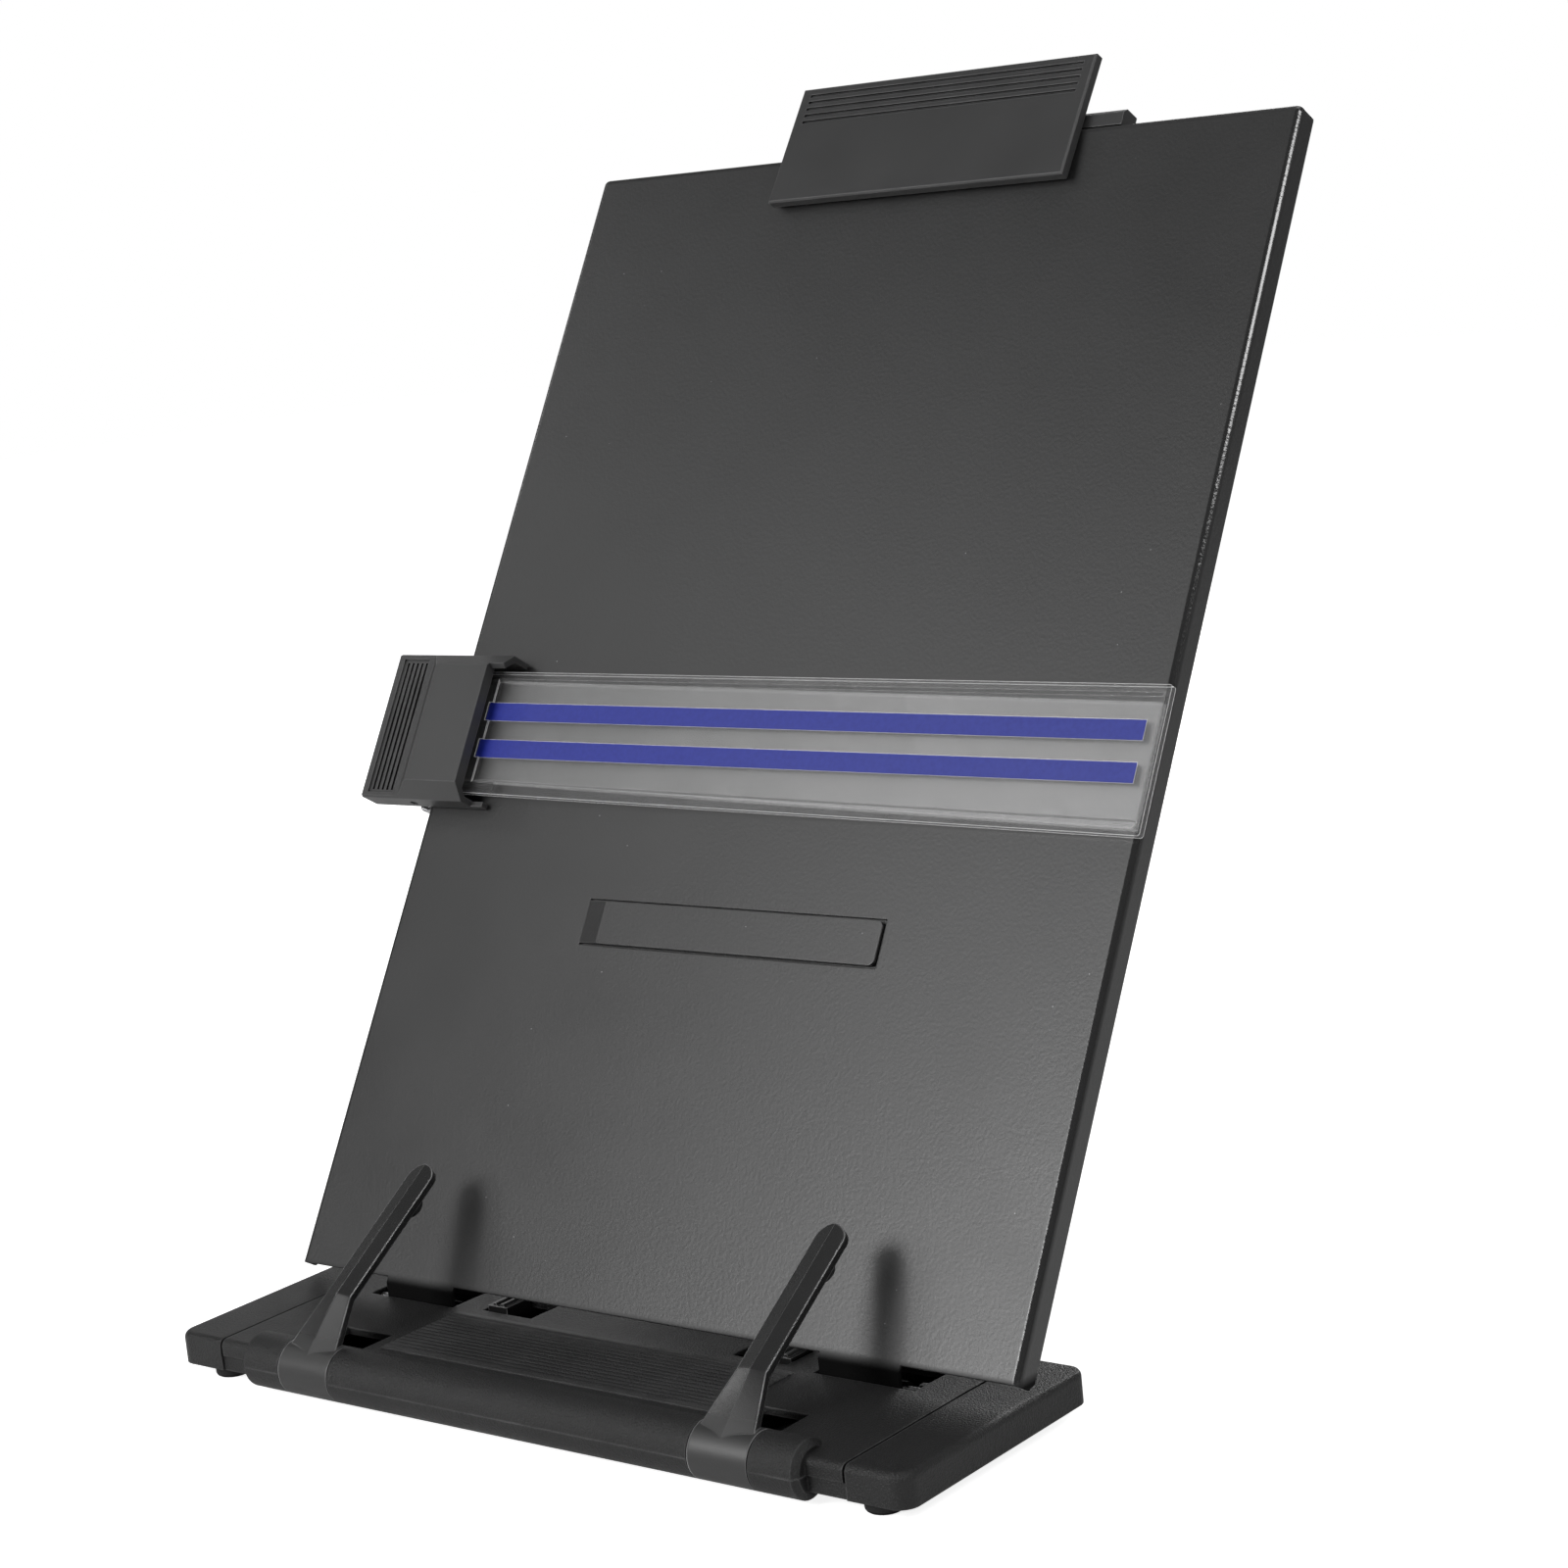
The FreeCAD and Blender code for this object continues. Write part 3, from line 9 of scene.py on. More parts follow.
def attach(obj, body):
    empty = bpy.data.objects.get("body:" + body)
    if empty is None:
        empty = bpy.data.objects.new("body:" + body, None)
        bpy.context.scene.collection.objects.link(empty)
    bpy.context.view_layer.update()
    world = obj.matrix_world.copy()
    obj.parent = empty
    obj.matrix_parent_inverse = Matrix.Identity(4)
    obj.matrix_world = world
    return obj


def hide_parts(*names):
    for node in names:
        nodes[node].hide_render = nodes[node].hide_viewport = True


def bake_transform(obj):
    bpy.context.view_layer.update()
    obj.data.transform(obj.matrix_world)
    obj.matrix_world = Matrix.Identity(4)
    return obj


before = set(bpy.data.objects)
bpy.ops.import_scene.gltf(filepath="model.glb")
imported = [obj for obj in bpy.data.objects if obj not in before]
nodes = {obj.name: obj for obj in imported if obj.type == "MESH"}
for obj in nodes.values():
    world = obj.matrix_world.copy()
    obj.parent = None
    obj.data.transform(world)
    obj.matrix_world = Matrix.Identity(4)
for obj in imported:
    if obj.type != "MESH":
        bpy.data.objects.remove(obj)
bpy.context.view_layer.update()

MM = 0.001
UP = Vector((0, 0, 1))

# Camera, fitted to the photographed edges; its place is in metres
CAMERA_PLACE = Vector((0.5718, -0.6050, 0.3000))
CAMERA_RIGHT = Vector((0.7824, 0.6150, -0.0988))
CAMERA_UP = Vector((-0.0313, 0.1971, 0.9803))
CAMERA_BACK = Vector((0.6221, -0.7635, 0.1736))
CAMERA_LENS = 75.78
CAMERA_SENSOR = 36.0
CAMERA_CLIP = (0.01, 20.0)

# Lamps: name, place, point faced, size, power; a strip also has a width and a direction
LAMPS = (
    ("key", (-0.34, -0.92, 0.60), (0.05, 0.06, 0.10), 0.40, 7.3),
    ("fill", (-0.56, -0.56, 0.88), (0, 0.09, 0.15), 0.40, 0.75),
    ("edge", (0.96, -0.06, 0.96), (0.1, 0.08, 0.15), 0.7, 4.5, 0.20, (0.55, 0.71, -0.44)),
    ("low side", (0.86, -0.59, 0.24), (0.05, 0, 0.05), 0.14, 0.6),
    ("front", (-0.58, -0.80, 0.33), (0.02, -0.01, 0.03), 0.22, 0.66),
    ("rear", (-0.95, 0.75, 0.42), (-0.05, 0, 0), 0.45, 0.53),
    ("back", (-0.30, 1.40, 0.60), (0, 0.15, 0.12), 0.7, 6.0),
    ("top", (0.1, 0.5, 1.5), (0, 0.05, 0.1), 0.9, 4.2),
    ("glint", (-1.21, -0.16, 0.96), (0.07, -0.03, 0.02), 0.25, 0.75),
)

# The white background's level where it lights a surface and where a gloss shows it
AMBIENT = 0.09
GLOSS_LEVEL = 0.09

# Floor: its size and the distances over which it fades to white are in metres
FLOOR_SIZE = 8.0
FLOOR_COLOUR = (0.82, 0.82, 0.82, 1)
FLOOR_GLOW = 0.84
FADE_NEAR = 0.3
FADE_FAR = 0.9
WHITE = (1, 1, 1, 1)

# Edge wear and painted edge highlights, painted shade in hollows, and grain
EDGE_TURN = (0.88, 0.995)  # cosine between the rounded and the true normal, edge to face
BEND_TURN = (0.08, 0.2)  # the normal's X where a bend starts to show and shows fully
WEAR_AND_HIGHLIGHT_LEAST = 0.25  # share of the edge wear and painted edge highlight on the stretch of an edge that gets least
# Painted shade in hollows: how far the occlusion reaches, in metres, and the colour it darkens to
CAVITY_SHADE_REACH = 1.5 * MM
CAVITY_SHADE_COLOUR = (0.002, 0.002, 0.002)
GRAIN_DEPTH = 0.0004  # height of the bump at strength 1, in metres

# Heights in millimetres at which a finish changes; the panel's coat gets painted shade below the
# hinge top, the leg's below a height it never reaches
HINGE_TOP = 13.8
UNDER_ALL = -20.0
COLLAR_TOP = 14.0
COLLAR_FULL = 11.5

# All that follows is in millimetres; s runs up the panel from its foot, h out of its face
DESK = -4.0
PANEL_LEAN = math.radians(31.4)
PANEL_FOOT = Vector((0, 9.2, 13.8))
UP_PANEL = Vector((0, math.sin(PANEL_LEAN), math.cos(PANEL_LEAN)))
OUT_OF_PANEL = Vector((0, -math.cos(PANEL_LEAN), math.sin(PANEL_LEAN)))

# Ruler: directions across its upper edge, its lower edge and its end, and the sunk face
RULER_UP = UP_PANEL + Vector((0.0087, 0, 0))
RULER_LOW_EDGE = UP_PANEL + Vector((0.0206, 0, 0))
RULER_ALONG = Vector((1, 0, 0)) - UP_PANEL * 0.0087
RULER_FACE_TOP = 176.4
RULER_FACE_BOTTOM = 144.6
RULER_FACE_END = 123.1
RULER_BORDER = 0.8

# Screws: a round form is a list of (radius, z), a twist the first angle and the step in radians
SHANK_TIP = 0.84
SHANK_RADIUS = 1.2
SHANK_CHAMFER = 0.5
SCREW_HEAD = [(1.2, -1.3), (1.85, -0.25), (2.0, -0.1)]
SCREW_FLAT = 1.88
SCREW_FACE_RINGS = 14
SCREW_FACE_STEPS = 72
RECESS_HALF = 0.32
RECESS_REACH = 1.32
RECESS_DEPTH = 0.8
RECESS_WALL = 0.12
RECESS_END = 0.35
BASE_SCREW_PLACES = [(x, y) for x in (-100.0, 100.0) for y in (-27.0, 29.0)]
BASE_SCREW_FACE = 0.3
BASE_SCREW_LENGTH = 5.8
BASE_SCREW_TWIST = (0.5, 1.1)
CLIP_SCREW_X = (-41.0, 60.0)
CLIP_SCREW_TOP = 354.6
CLIP_SCREW_H = -4.15
CLIP_SCREW_LENGTH = 6.8
CLIP_SCREW_TWIST = (0.3, 0.8)

# Latch coils: the line they lie on in y and z, and their ends in x
LATCH_LINE = (11.3, 5.8)
COIL_SEAT = 8.0
COIL_SHOULDER = 32.0
COIL_PLAY = 0.02
COIL_RADIUS = 1.75
COIL_WIRE = 0.25
COIL_TURNS = 8
COIL_CLOSED = 2.1  # pitch of the closed turns at both ends, in wire radii
COIL_STEPS = 24  # in a turn
WIRE_STEPS = 10  # around the wire

# Rivet heads
RIVET_PLACES = [(x, s) for x in (-49.0, 49.0) for s in (99.0, 121.0)]
RIVET_PLATE = -2.2
RIVET_DOME = [(2.2, 0.0), (2.2, 0.12), (2.1, 0.32), (1.85, 0.52), (1.4, 0.68), (0.8, 0.77),
              (0.2, 0.8)]

# Buttons of the page arms
ARM_X = 71.8
ARM_PAD = (3.06, 38.95)
ARM_SLOPE = math.radians(32.96)
BUTTON = [(4.0, 0.0), (4.0, 0.9), (3.93, 1.35), (3.7, 1.9), (3.25, 2.4), (2.6, 2.8),
          (1.8, 3.05), (0.9, 3.17), (0.2, 3.2)]

# Feet of the base
FOOT_PLACES = [(x, y) for x in (-112.8, 112.8) for y in (-31.0, 31.0)]
FOOT = [(5.0, 4.0), (5.0, 1.1), (4.93, 0.7), (4.72, 0.32), (4.4, 0.08), (4.1, 0.0), (3.5, 0.0),
        (3.2, 0.12), (3.0, 0.4), (0.8, 0.4), (0.5, 0.55), (0.1, 0.6)]

# Page rest: a rib is (share of the pitch, rise); the rounded edges are (y, z) or (inset, drop)
REST_HALF = 59.0
REST_FRONT = -25.5
REST_BACK = 4.9
REST_BOTTOM = 8.0
REST_TOP = 9.2
REST_RIBS = 14
REST_BORDER = 1.3
REST_RIB = ((0.0, 0.0), (0.12, 0.13), (0.28, 0.25), (0.5, 0.30), (0.72, 0.22), (0.88, 0.06))
REST_BACK_EDGE = ((0.0, -0.3), (-0.1, -0.08), (-0.35, 0.0))
REST_FRONT_EDGE = ((0.4, 0.05), (0.12, -0.05), (0.0, -0.3))
REST_END = ((0.0, 0.45), (0.12, 0.2), (0.5, 0.0))

# Clip's lip: its ends, its lower and upper edge with their heights, and its ridged sole
LIP_X = (-49.0, 54.0)
LIP_S = (332.8, 336.8)
LIP_TOP = (1.72, 1.42)
LIP_MIDDLE = 334.0
LIP_SLANT = 1.33
LIP_SOLE = 0.42
LIP_RIDGE = 0.12
LIP_RIDGES = 4
LIP_STEPS = 24
LIP_END = 0.15
LIP_END_INSET = 0.12

# Leg's rubber sole, along the leg from its axle: a plug and a ribbed tread
LEG_PIVOT = (118.0, -9.0)
LEG_LENGTH = 132.0
PLUG_HALF = 31.8
PLUG_START = 120.0
PLUG_BACK = -3.5
PLUG_FRONT = 2.3
SOLE_RADIUS = 4.0
SOLE_HALF = 33.0
SOLE_RIBS = 22
SOLE_RIB = ((0.0, 0.35), (0.16, 0.35), (0.28, 0.0), (0.88, 0.0))  # share of the pitch, waist
SOLE_STEPS = 16


# Node helpers
class Nodes:
    """A material's node tree, with short calls for the nodes used here."""

    def __init__(self, name):
        self.material = bpy.data.materials.new(name)
        self.material.use_nodes = True
        self.tree = self.material.node_tree
        self.shader = self.tree.nodes["Principled BSDF"]
        self.coords = self.add("ShaderNodeTexCoord").outputs["Object"]

    def add(self, kind, **settings):
        """A new node with its settings."""
        node = self.tree.nodes.new(kind)
        for key, value in settings.items():
            setattr(node, key, value)
        return node

    def link(self, out, into):
        """Link an output to an input."""
        self.tree.links.new(out, into)

    def drive(self, socket, value):
        """Link a value to one of the shader's sockets."""
        self.link(value, self.shader.inputs[socket])

    def set(self, **values):
        """Give the shader's sockets plain values."""
        for key, value in values.items():
            self.shader.inputs[key.replace("_", " ")].default_value = value

    def noise(self, scale, detail, roughness=0.5, stretch=None):
        """Noise in object space; scale is in cycles per metre."""
        node = self.add("ShaderNodeTexNoise")
        node.inputs["Scale"].default_value = scale
        node.inputs["Detail"].default_value = detail
        node.inputs["Roughness"].default_value = roughness
        source = self.coords
        if stretch:
            mapping = self.add("ShaderNodeMapping")
            mapping.inputs["Scale"].default_value = stretch
            self.link(source, mapping.inputs["Vector"])
            source = mapping.outputs["Vector"]
        self.link(source, node.inputs["Vector"])
        return node.outputs["Fac"]

    def remap(self, source, low, high, start=0.3, end=0.7):
        """A value brought from a range, by default that of a noise, to another."""
        node = self.add("ShaderNodeMapRange")
        node.inputs["From Min"].default_value = start
        node.inputs["From Max"].default_value = end
        node.inputs["To Min"].default_value = low
        node.inputs["To Max"].default_value = high
        self.link(source, node.inputs["Value"])
        return node.outputs["Result"]

    def math(self, operation, first, second):
        """A sum, product or other step of a linked value with a linked or plain one."""
        node = self.add("ShaderNodeMath", operation=operation)
        self.link(first, node.inputs[0])
        if isinstance(second, float):
            node.inputs[1].default_value = second
        else:
            self.link(second, node.inputs[1])
        return node.outputs[0]

    def blend(self, factor, first, second):
        """A value that goes from a linked value to a plain one."""
        node = self.add("ShaderNodeMix", data_type="FLOAT")
        self.link(factor, node.inputs["Factor"])
        self.link(first, node.inputs["A"])
        node.inputs["B"].default_value = second
        return node.outputs["Result"]

    def mix_colours(self, factor, first, second):
        """A colour that goes from a linked or plain colour to a plain one."""
        node = self.add("ShaderNodeMix", data_type="RGBA")
        self.link(factor, node.inputs["Factor"])
        if isinstance(first, tuple):
            node.inputs["A"].default_value = (*first, 1)
        else:
            self.link(first, node.inputs["A"])
        node.inputs["B"].default_value = (*second, 1)
        return node.outputs["Result"]

    def tint(self, factor, colour):
        """Bring the shader's colour so far to a plain one where the factor is 1."""
        so_far = self.shader.inputs["Base Color"].links[0].from_socket
        self.drive("Base Color", self.mix_colours(factor, so_far, colour))

    def gloss(self, level, plain):
        """Link the specular level; the plain value stands where a link isn't read."""
        self.shader.inputs["Specular IOR Level"].default_value = plain
        self.drive("Specular IOR Level", level)

    def rounded(self, radius):
        """Normals that run smoothly round the edges."""
        bevel = self.add("ShaderNodeBevel", samples=6)
        bevel.inputs["Radius"].default_value = radius
        return bevel.outputs["Normal"]

    def bump(self, height, strength, distance, rounding=0.0):
        """Bump from a height; rounding softens the shaded edges by that radius."""
        node = self.add("ShaderNodeBump")
        node.inputs["Strength"].default_value = strength
        node.inputs["Distance"].default_value = distance
        self.link(height, node.inputs["Height"])
        if rounding:
            self.link(self.rounded(rounding), node.inputs["Normal"])
        self.drive("Normal", node.outputs["Normal"])

    def edges(self, radius):
        """1 on the edges and 0 on the faces, from how far the rounded normal turns."""
        dot = self.add("ShaderNodeVectorMath", operation="DOT_PRODUCT")
        self.link(self.rounded(radius), dot.inputs[0])
        self.link(self.add("ShaderNodeNewGeometry").outputs["True Normal"], dot.inputs[1])
        return self.remap(dot.outputs["Value"], 1.0, 0.0, *EDGE_TURN)

    def bends(self):
        """1 where the sheet turns from its face to a side flange, and 0 on both."""
        parts = self.add("ShaderNodeSeparateXYZ")
        self.link(self.add("ShaderNodeNewGeometry").outputs["Normal"], parts.inputs[0])
        sideways = self.math("PINGPONG", parts.outputs["X"], 0.5)
        return self.remap(sideways, 0.0, 1.0, *BEND_TURN)

    def along(self, direction, start, end):
        """0 to 1 between two distances in millimetres: heights for UP, else from the foot."""
        dot = self.add("ShaderNodeVectorMath", operation="DOT_PRODUCT")
        self.link(self.coords, dot.inputs[0])
        dot.inputs[1].default_value = direction
        foot = 0.0 if direction is UP else PANEL_FOOT.dot(direction)
        return self.remap(dot.outputs["Value"], 0.0, 1.0, (foot + start) * MM, (foot + end) * MM)

    def worn_and_highlit(self, cloud, low, high, radius, wear_and_highlight):
        """Colour that varies in patches and is lighter along the edges, partly from wear and
        partly as a painted highlight.
        """
        self.drive("Base Color", self.mix_colours(self.remap(cloud, 0, 1), grey(low), grey(high)))
        patches = self.remap(self.noise(90.0, 3.0), WEAR_AND_HIGHLIGHT_LEAST, 1.0)
        self.tint(self.math("MULTIPLY", self.edges(radius), patches), grey(wear_and_highlight))

    def specks(self, scale, size, level):
        """Sparse bright grains of dust over the colour."""
        cells = self.add("ShaderNodeTexVoronoi")
        cells.inputs["Scale"].default_value = scale
        self.link(self.coords, cells.inputs["Vector"])
        self.tint(self.remap(cells.outputs["Distance"], 1.0, 0.0, size * 0.5, size), grey(level))

    def cavity_shade(self, gloss):
        """Painted shade in grooves, seams and slots, from ambient occlusion: gloss is lost there
        and the colour darkens too.
        """
        cavity = self.add("ShaderNodeAmbientOcclusion", samples=8)
        cavity.inputs["Distance"].default_value = CAVITY_SHADE_REACH
        openness = cavity.outputs["AO"]
        self.gloss(self.remap(openness, 0.0, gloss, 0.35, 0.85), gloss)
        self.tint(self.remap(openness, 1.0, 0.0, 0.2, 0.8), CAVITY_SHADE_COLOUR)


def grey(value):
    """A nearly neutral colour."""
    return (value, value, value * 1.01)


# Finishes
def powder_coat(name, shade_below):
    """Satin black powder coat with orange peel and dust, with painted shade below a height, where
    it is matt and dark.
    """
    n = Nodes(name)
    n.worn_and_highlit(n.noise(14.0, 3.0), low=0.014, high=0.017, radius=0.0006, wear_and_highlight=0.06)
    n.specks(110.0, size=0.024, level=0.30)
    sheen = n.blend(n.bends(), n.remap(n.noise(40.0, 4.0), 0.37, 0.41), 0.12)
    # Painted shade on the hinge tabs: below the height the colour darkens, the coat turns matt and
    # the gloss drops
    shade_mask = n.along(UP, shade_below + 1.2, shade_below - 1.3)
    n.tint(shade_mask, grey(0.003))
    n.drive("Roughness", n.blend(shade_mask, sheen, 0.75))
    n.gloss(n.remap(shade_mask, 0.78, 0.09, 0.0, 1.0), 0.78)
    n.bump(n.noise(1000.0, 2.0), 0.12, GRAIN_DEPTH, rounding=0.0006)
    return n.material


def moulded(name, colour, roughness, grain, strength, rounding, wear_and_highlight, gloss=0.4):
    """Spark-textured black moulding, its edges lighter from wear and a painted highlight and its
    hollows darkened by painted shade; the grain is in cycles per metre.
    """
    n = Nodes(name)
    n.worn_and_highlit(n.noise(22.0, 4.0), *colour, rounding, wear_and_highlight)
    n.drive("Roughness", n.remap(n.noise(60.0, 5.0), *roughness))
    n.bump(n.noise(grain, 3.0, 0.6), strength, GRAIN_DEPTH, rounding)
    n.cavity_shade(gloss)
    return n.material


def arm_plastic():
    """Glossy arms whose collars are matt like the roll."""
    n = Nodes("arm_plastic")
    # The arms' edges are made much lighter: a painted highlight as well as wear
    n.worn_and_highlit(n.noise(22.0, 4.0), low=0.010, high=0.014, radius=0.0006, wear_and_highlight=0.5)
    sheen = n.blend(n.edges(0.0009), n.remap(n.noise(60.0, 5.0), 0.22, 0.28), 0.16)
    collar = n.along(UP, COLLAR_TOP, COLLAR_FULL)
    n.drive("Roughness", n.blend(collar, sheen, 0.46))
    n.bump(n.noise(1800.0, 3.0), 0.06, GRAIN_DEPTH, rounding=0.0009)
    n.cavity_shade(0.75)
    return n.material


def bright_steel():
    """Drawn steel wire and turned pins."""
    n = Nodes("drawn_steel")
    streak = n.noise(500.0, 3.0, stretch=(0.04, 1, 1))
    tone = n.remap(streak, 0, 1)
    n.drive("Base Color", n.mix_colours(tone, (0.46, 0.46, 0.47), (0.62, 0.62, 0.63)))
    n.drive("Roughness", n.remap(n.noise(900.0, 2.0), 0.22, 0.36))
    n.bump(streak, 0.1, 0.0001)
    n.set(Metallic=1.0)
    return n.material


def clear_acrylic():
    """Clear moulding of the ruler: a frosted sunk face, a polished rim, and light lines painted as
    highlights along its edges and round the sunk face.
    """
    n = Nodes("clear_acrylic")
    under_top = n.along(RULER_UP, RULER_FACE_TOP + RULER_BORDER, RULER_FACE_TOP)
    over_bottom = n.along(RULER_LOW_EDGE, RULER_FACE_BOTTOM - RULER_BORDER, RULER_FACE_BOTTOM)
    before_end = n.along(RULER_ALONG, RULER_FACE_END + RULER_BORDER, RULER_FACE_END)
    face = n.math("MULTIPLY", n.math("MULTIPLY", under_top, over_bottom), before_end)
    rim = n.remap(face, 1.0, 0.0, 0.0, 1.0)
    n.drive("Roughness", n.blend(rim, n.remap(n.noise(35.0, 4.0), 0.27, 0.33), 0.12))
    n.gloss(n.remap(rim, 1.0, 0.12, 0.0, 1.0), 1.0)
    n.bump(n.noise(300.0, 2.0), 0.02, 0.0002, rounding=0.0003)
    haze = n.mix_colours(n.remap(n.noise(160.0, 5.0), 0, 1), grey(0.018), grey(0.034))
    # Painted highlight: light lines along the edges and round the border of the sunk face
    border = n.remap(n.math("PINGPONG", rim, 0.5), 0.0, 0.22, 0.1, 0.5)
    bright = n.math("MAXIMUM", n.edges(0.0004), border)
    n.drive("Base Color", n.mix_colours(bright, haze, (0.75, 0.75, 0.75)))
    clear = n.add("ShaderNodeBsdfTransparent")
    clear.inputs["Color"].default_value = (0.88, 0.88, 0.88, 1)
    both = n.add("ShaderNodeAddShader")
    n.link(n.shader.outputs[0], both.inputs[0])
    n.link(clear.outputs[0], both.inputs[1])
    n.link(both.outputs[0], n.tree.nodes["Material Output"].inputs["Surface"])
    return n.material


def line_ink():
    """Violet-blue print let into the ruler."""
    n = Nodes("line_ink")
    tone = n.remap(n.noise(700.0, 3.0), 0, 1)
    n.drive("Base Color", n.mix_colours(tone, (0.010, 0.019, 0.235), (0.015, 0.027, 0.275)))
    n.drive("Roughness", n.remap(n.noise(120.0, 3.0), 0.38, 0.46))
    n.set(Specular_IOR_Level=0.5)
    return n.material


def paint(names, material):
    """Give CAD nodes one material."""
    for name in names.split():
        obj = nodes[name]
        obj.data.materials.clear()
        obj.data.materials.append(material)


# Pieces
class Form:
    """A mesh in the making, from rings of points in millimetres."""

    def __init__(self):
        self.mesh = bmesh.new()

    def skin(self, rings, place=Matrix.Identity(4)):
        """Join rings of equally many points and close both ends."""
        made = [[self.mesh.verts.new(place @ Vector(p) * MM) for p in ring] for ring in rings]
        for before, after in zip(made, made[1:]):
            for i in range(len(before)):
                j = (i + 1) % len(before)
                self.mesh.faces.new((before[i], before[j], after[j], after[i]))
        self.mesh.faces.new(made[0])
        self.mesh.faces.new(made[-1])

    def turn(self, profile, place, steps=40, sink=None):
        """A round form about the place's Z from (radius, z) points; sink(x, y) lowers its face."""
        rings = []
        for radius, z in profile:
            ring = []
            for i in range(steps):
                angle = 2 * math.pi * i / steps
                x, y = radius * math.cos(angle), radius * math.sin(angle)
                ring.append((x, y, z - (sink(x, y) if sink else 0)))
            rings.append(ring)
        self.skin(rings, place)

    def finish(self, name, material, body, slot, *stands_for, crease=35):
        """Make the object, smooth it up to the crease angle and put it on its body, if any."""
        bmesh.ops.recalc_face_normals(self.mesh, faces=self.mesh.faces)
        data = bpy.data.meshes.new(name)
        self.mesh.to_mesh(data)
        self.mesh.free()
        data.polygons.foreach_set("use_smooth", [True] * len(data.polygons))
        data.set_sharp_from_angle(angle=math.radians(crease))
        data.materials.append(material)
        obj = bpy.data.objects.new(name, data)
        bpy.context.scene.collection.objects.link(obj)
        if body:
            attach(obj, body)
        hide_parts(*stands_for)
        return obj


def panel_place(x, s, h, out=True):
    """A place on the panel as a matrix, its Z out of the face or else up the panel."""
    place = PANEL_FOOT + Vector((x, 0, 0)) + UP_PANEL * s + OUT_OF_PANEL * h
    across = Vector((1, 0, 0))
    axes = (across, UP_PANEL, OUT_OF_PANEL) if out else (across, -OUT_OF_PANEL, UP_PANEL)
    return Matrix.Translation(place) @ Matrix(axes).transposed().to_4x4()


def cross_recess(x, y):
    """How deep the cross recess is at a place on a screw's face."""
    near, far = sorted((abs(x), abs(y)))
    wall = min(max((RECESS_HALF - near) / RECESS_WALL, 0.0), 1.0)
    end = min(max((RECESS_REACH - far) / RECESS_END, 0.0), 1.0)
    return RECESS_DEPTH * wall * end


def screw(form, place, length):
    """A flush countersunk screw with a cross recess; its face is at the place's origin."""
    shank = [(SHANK_TIP, -length), (SHANK_RADIUS, SHANK_CHAMFER - length)]
    form.turn(shank + SCREW_HEAD, place)
    face = [SCREW_HEAD[-1]]
    face += [(SCREW_FLAT * i / SCREW_FACE_RINGS, 0.0) for i in range(SCREW_FACE_RINGS, 0, -1)]
    form.turn(face, place, SCREW_FACE_STEPS, cross_recess)


def make_screws(steel):
    """Cross-recess screws of the base and the clip's bar."""
    down = Matrix.Rotation(math.pi, 4, "X")
    first, step = BASE_SCREW_TWIST
    form = Form()
    for i, (x, y) in enumerate(BASE_SCREW_PLACES):
        twist = Matrix.Rotation(first + step * i, 4, "Z")
        screw(form, Matrix.Translation((x, y, BASE_SCREW_FACE)) @ down @ twist, BASE_SCREW_LENGTH)
    form.finish("base_screw_set", steel, "base", "steel", "base_screws")
    first, step = CLIP_SCREW_TWIST
    form = Form()
    for i, x in enumerate(CLIP_SCREW_X):
        twist = Matrix.Rotation(first + step * i, 4, "Z")
        place = panel_place(x, CLIP_SCREW_TOP, CLIP_SCREW_H, out=False)
        screw(form, place @ twist, CLIP_SCREW_LENGTH)
    form.finish("clip_screw_set", steel, "panel", "steel", "clip_screws")


def make_latch_coils(steel):
    """Coil springs with closed ends, at one length between their seat and shoulder."""
    y, z = LATCH_LINE
    gap = COIL_WIRE + COIL_PLAY
    start, end = COIL_SEAT + gap, COIL_SHOULDER - gap
    dead = COIL_WIRE * COIL_CLOSED
    steps = COIL_TURNS * COIL_STEPS
    for side, way in (("left", -1), ("right", 1)):
        rings = []
        for i in range(steps + 1):
            turn = COIL_TURNS * i / steps
            open_share = min(max((turn - 1) / (COIL_TURNS - 2), 0.0), 1.0)
            closed = min(turn, 1.0) + max(turn - COIL_TURNS + 1, 0.0)
            x = start + closed * dead + open_share * (end - start - 2 * dead)
            angle = 2 * math.pi * turn
            ring = []
            for k in range(WIRE_STEPS):
                around = 2 * math.pi * k / WIRE_STEPS
                reach = COIL_RADIUS + COIL_WIRE * math.cos(around)
                ring.append((way * (x + COIL_WIRE * math.sin(around)),
                             y + reach * math.cos(angle), z + reach * math.sin(angle)))
            rings.append(ring)
        form = Form()
        form.skin(rings)
        coil = form.finish("latch_coil_" + side, steel, None, "steel", "latch_spring_" + side)
        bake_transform(coil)


def make_rivets(steel):
    """Domed rivet heads behind the leg's bracket."""
    form = Form()
    back = Matrix.Rotation(math.pi, 4, "X")
    for x, s in RIVET_PLACES:
        form.turn(RIVET_DOME, panel_place(x, s, RIVET_PLATE) @ back)
    form.finish("rivet_heads", steel, "panel", "steel", "bracket_rivets", crease=60)


def make_arm_pads(soft):
    """Domed rubber buttons behind the arms' tips."""
    slope = Matrix.Rotation(math.pi + ARM_SLOPE, 4, "X")
    for side, x in (("left", -ARM_X), ("right", ARM_X)):
        form = Form()
        form.turn(BUTTON, Matrix.Translation((x, *ARM_PAD)) @ slope)
        form.finish("arm_button_" + side, soft, "arm_" + side, "rubber", "arm_pad_" + side,
                    crease=60)


def make_feet(soft):
    """Moulded feet with a rounded rim and a sunk sole."""
    form = Form()
    for x, y in FOOT_PLACES:
        form.turn(FOOT, Matrix.Translation((x, y, DESK)))
    form.finish("foot_set", soft, "base", "rubber", "base_feet")


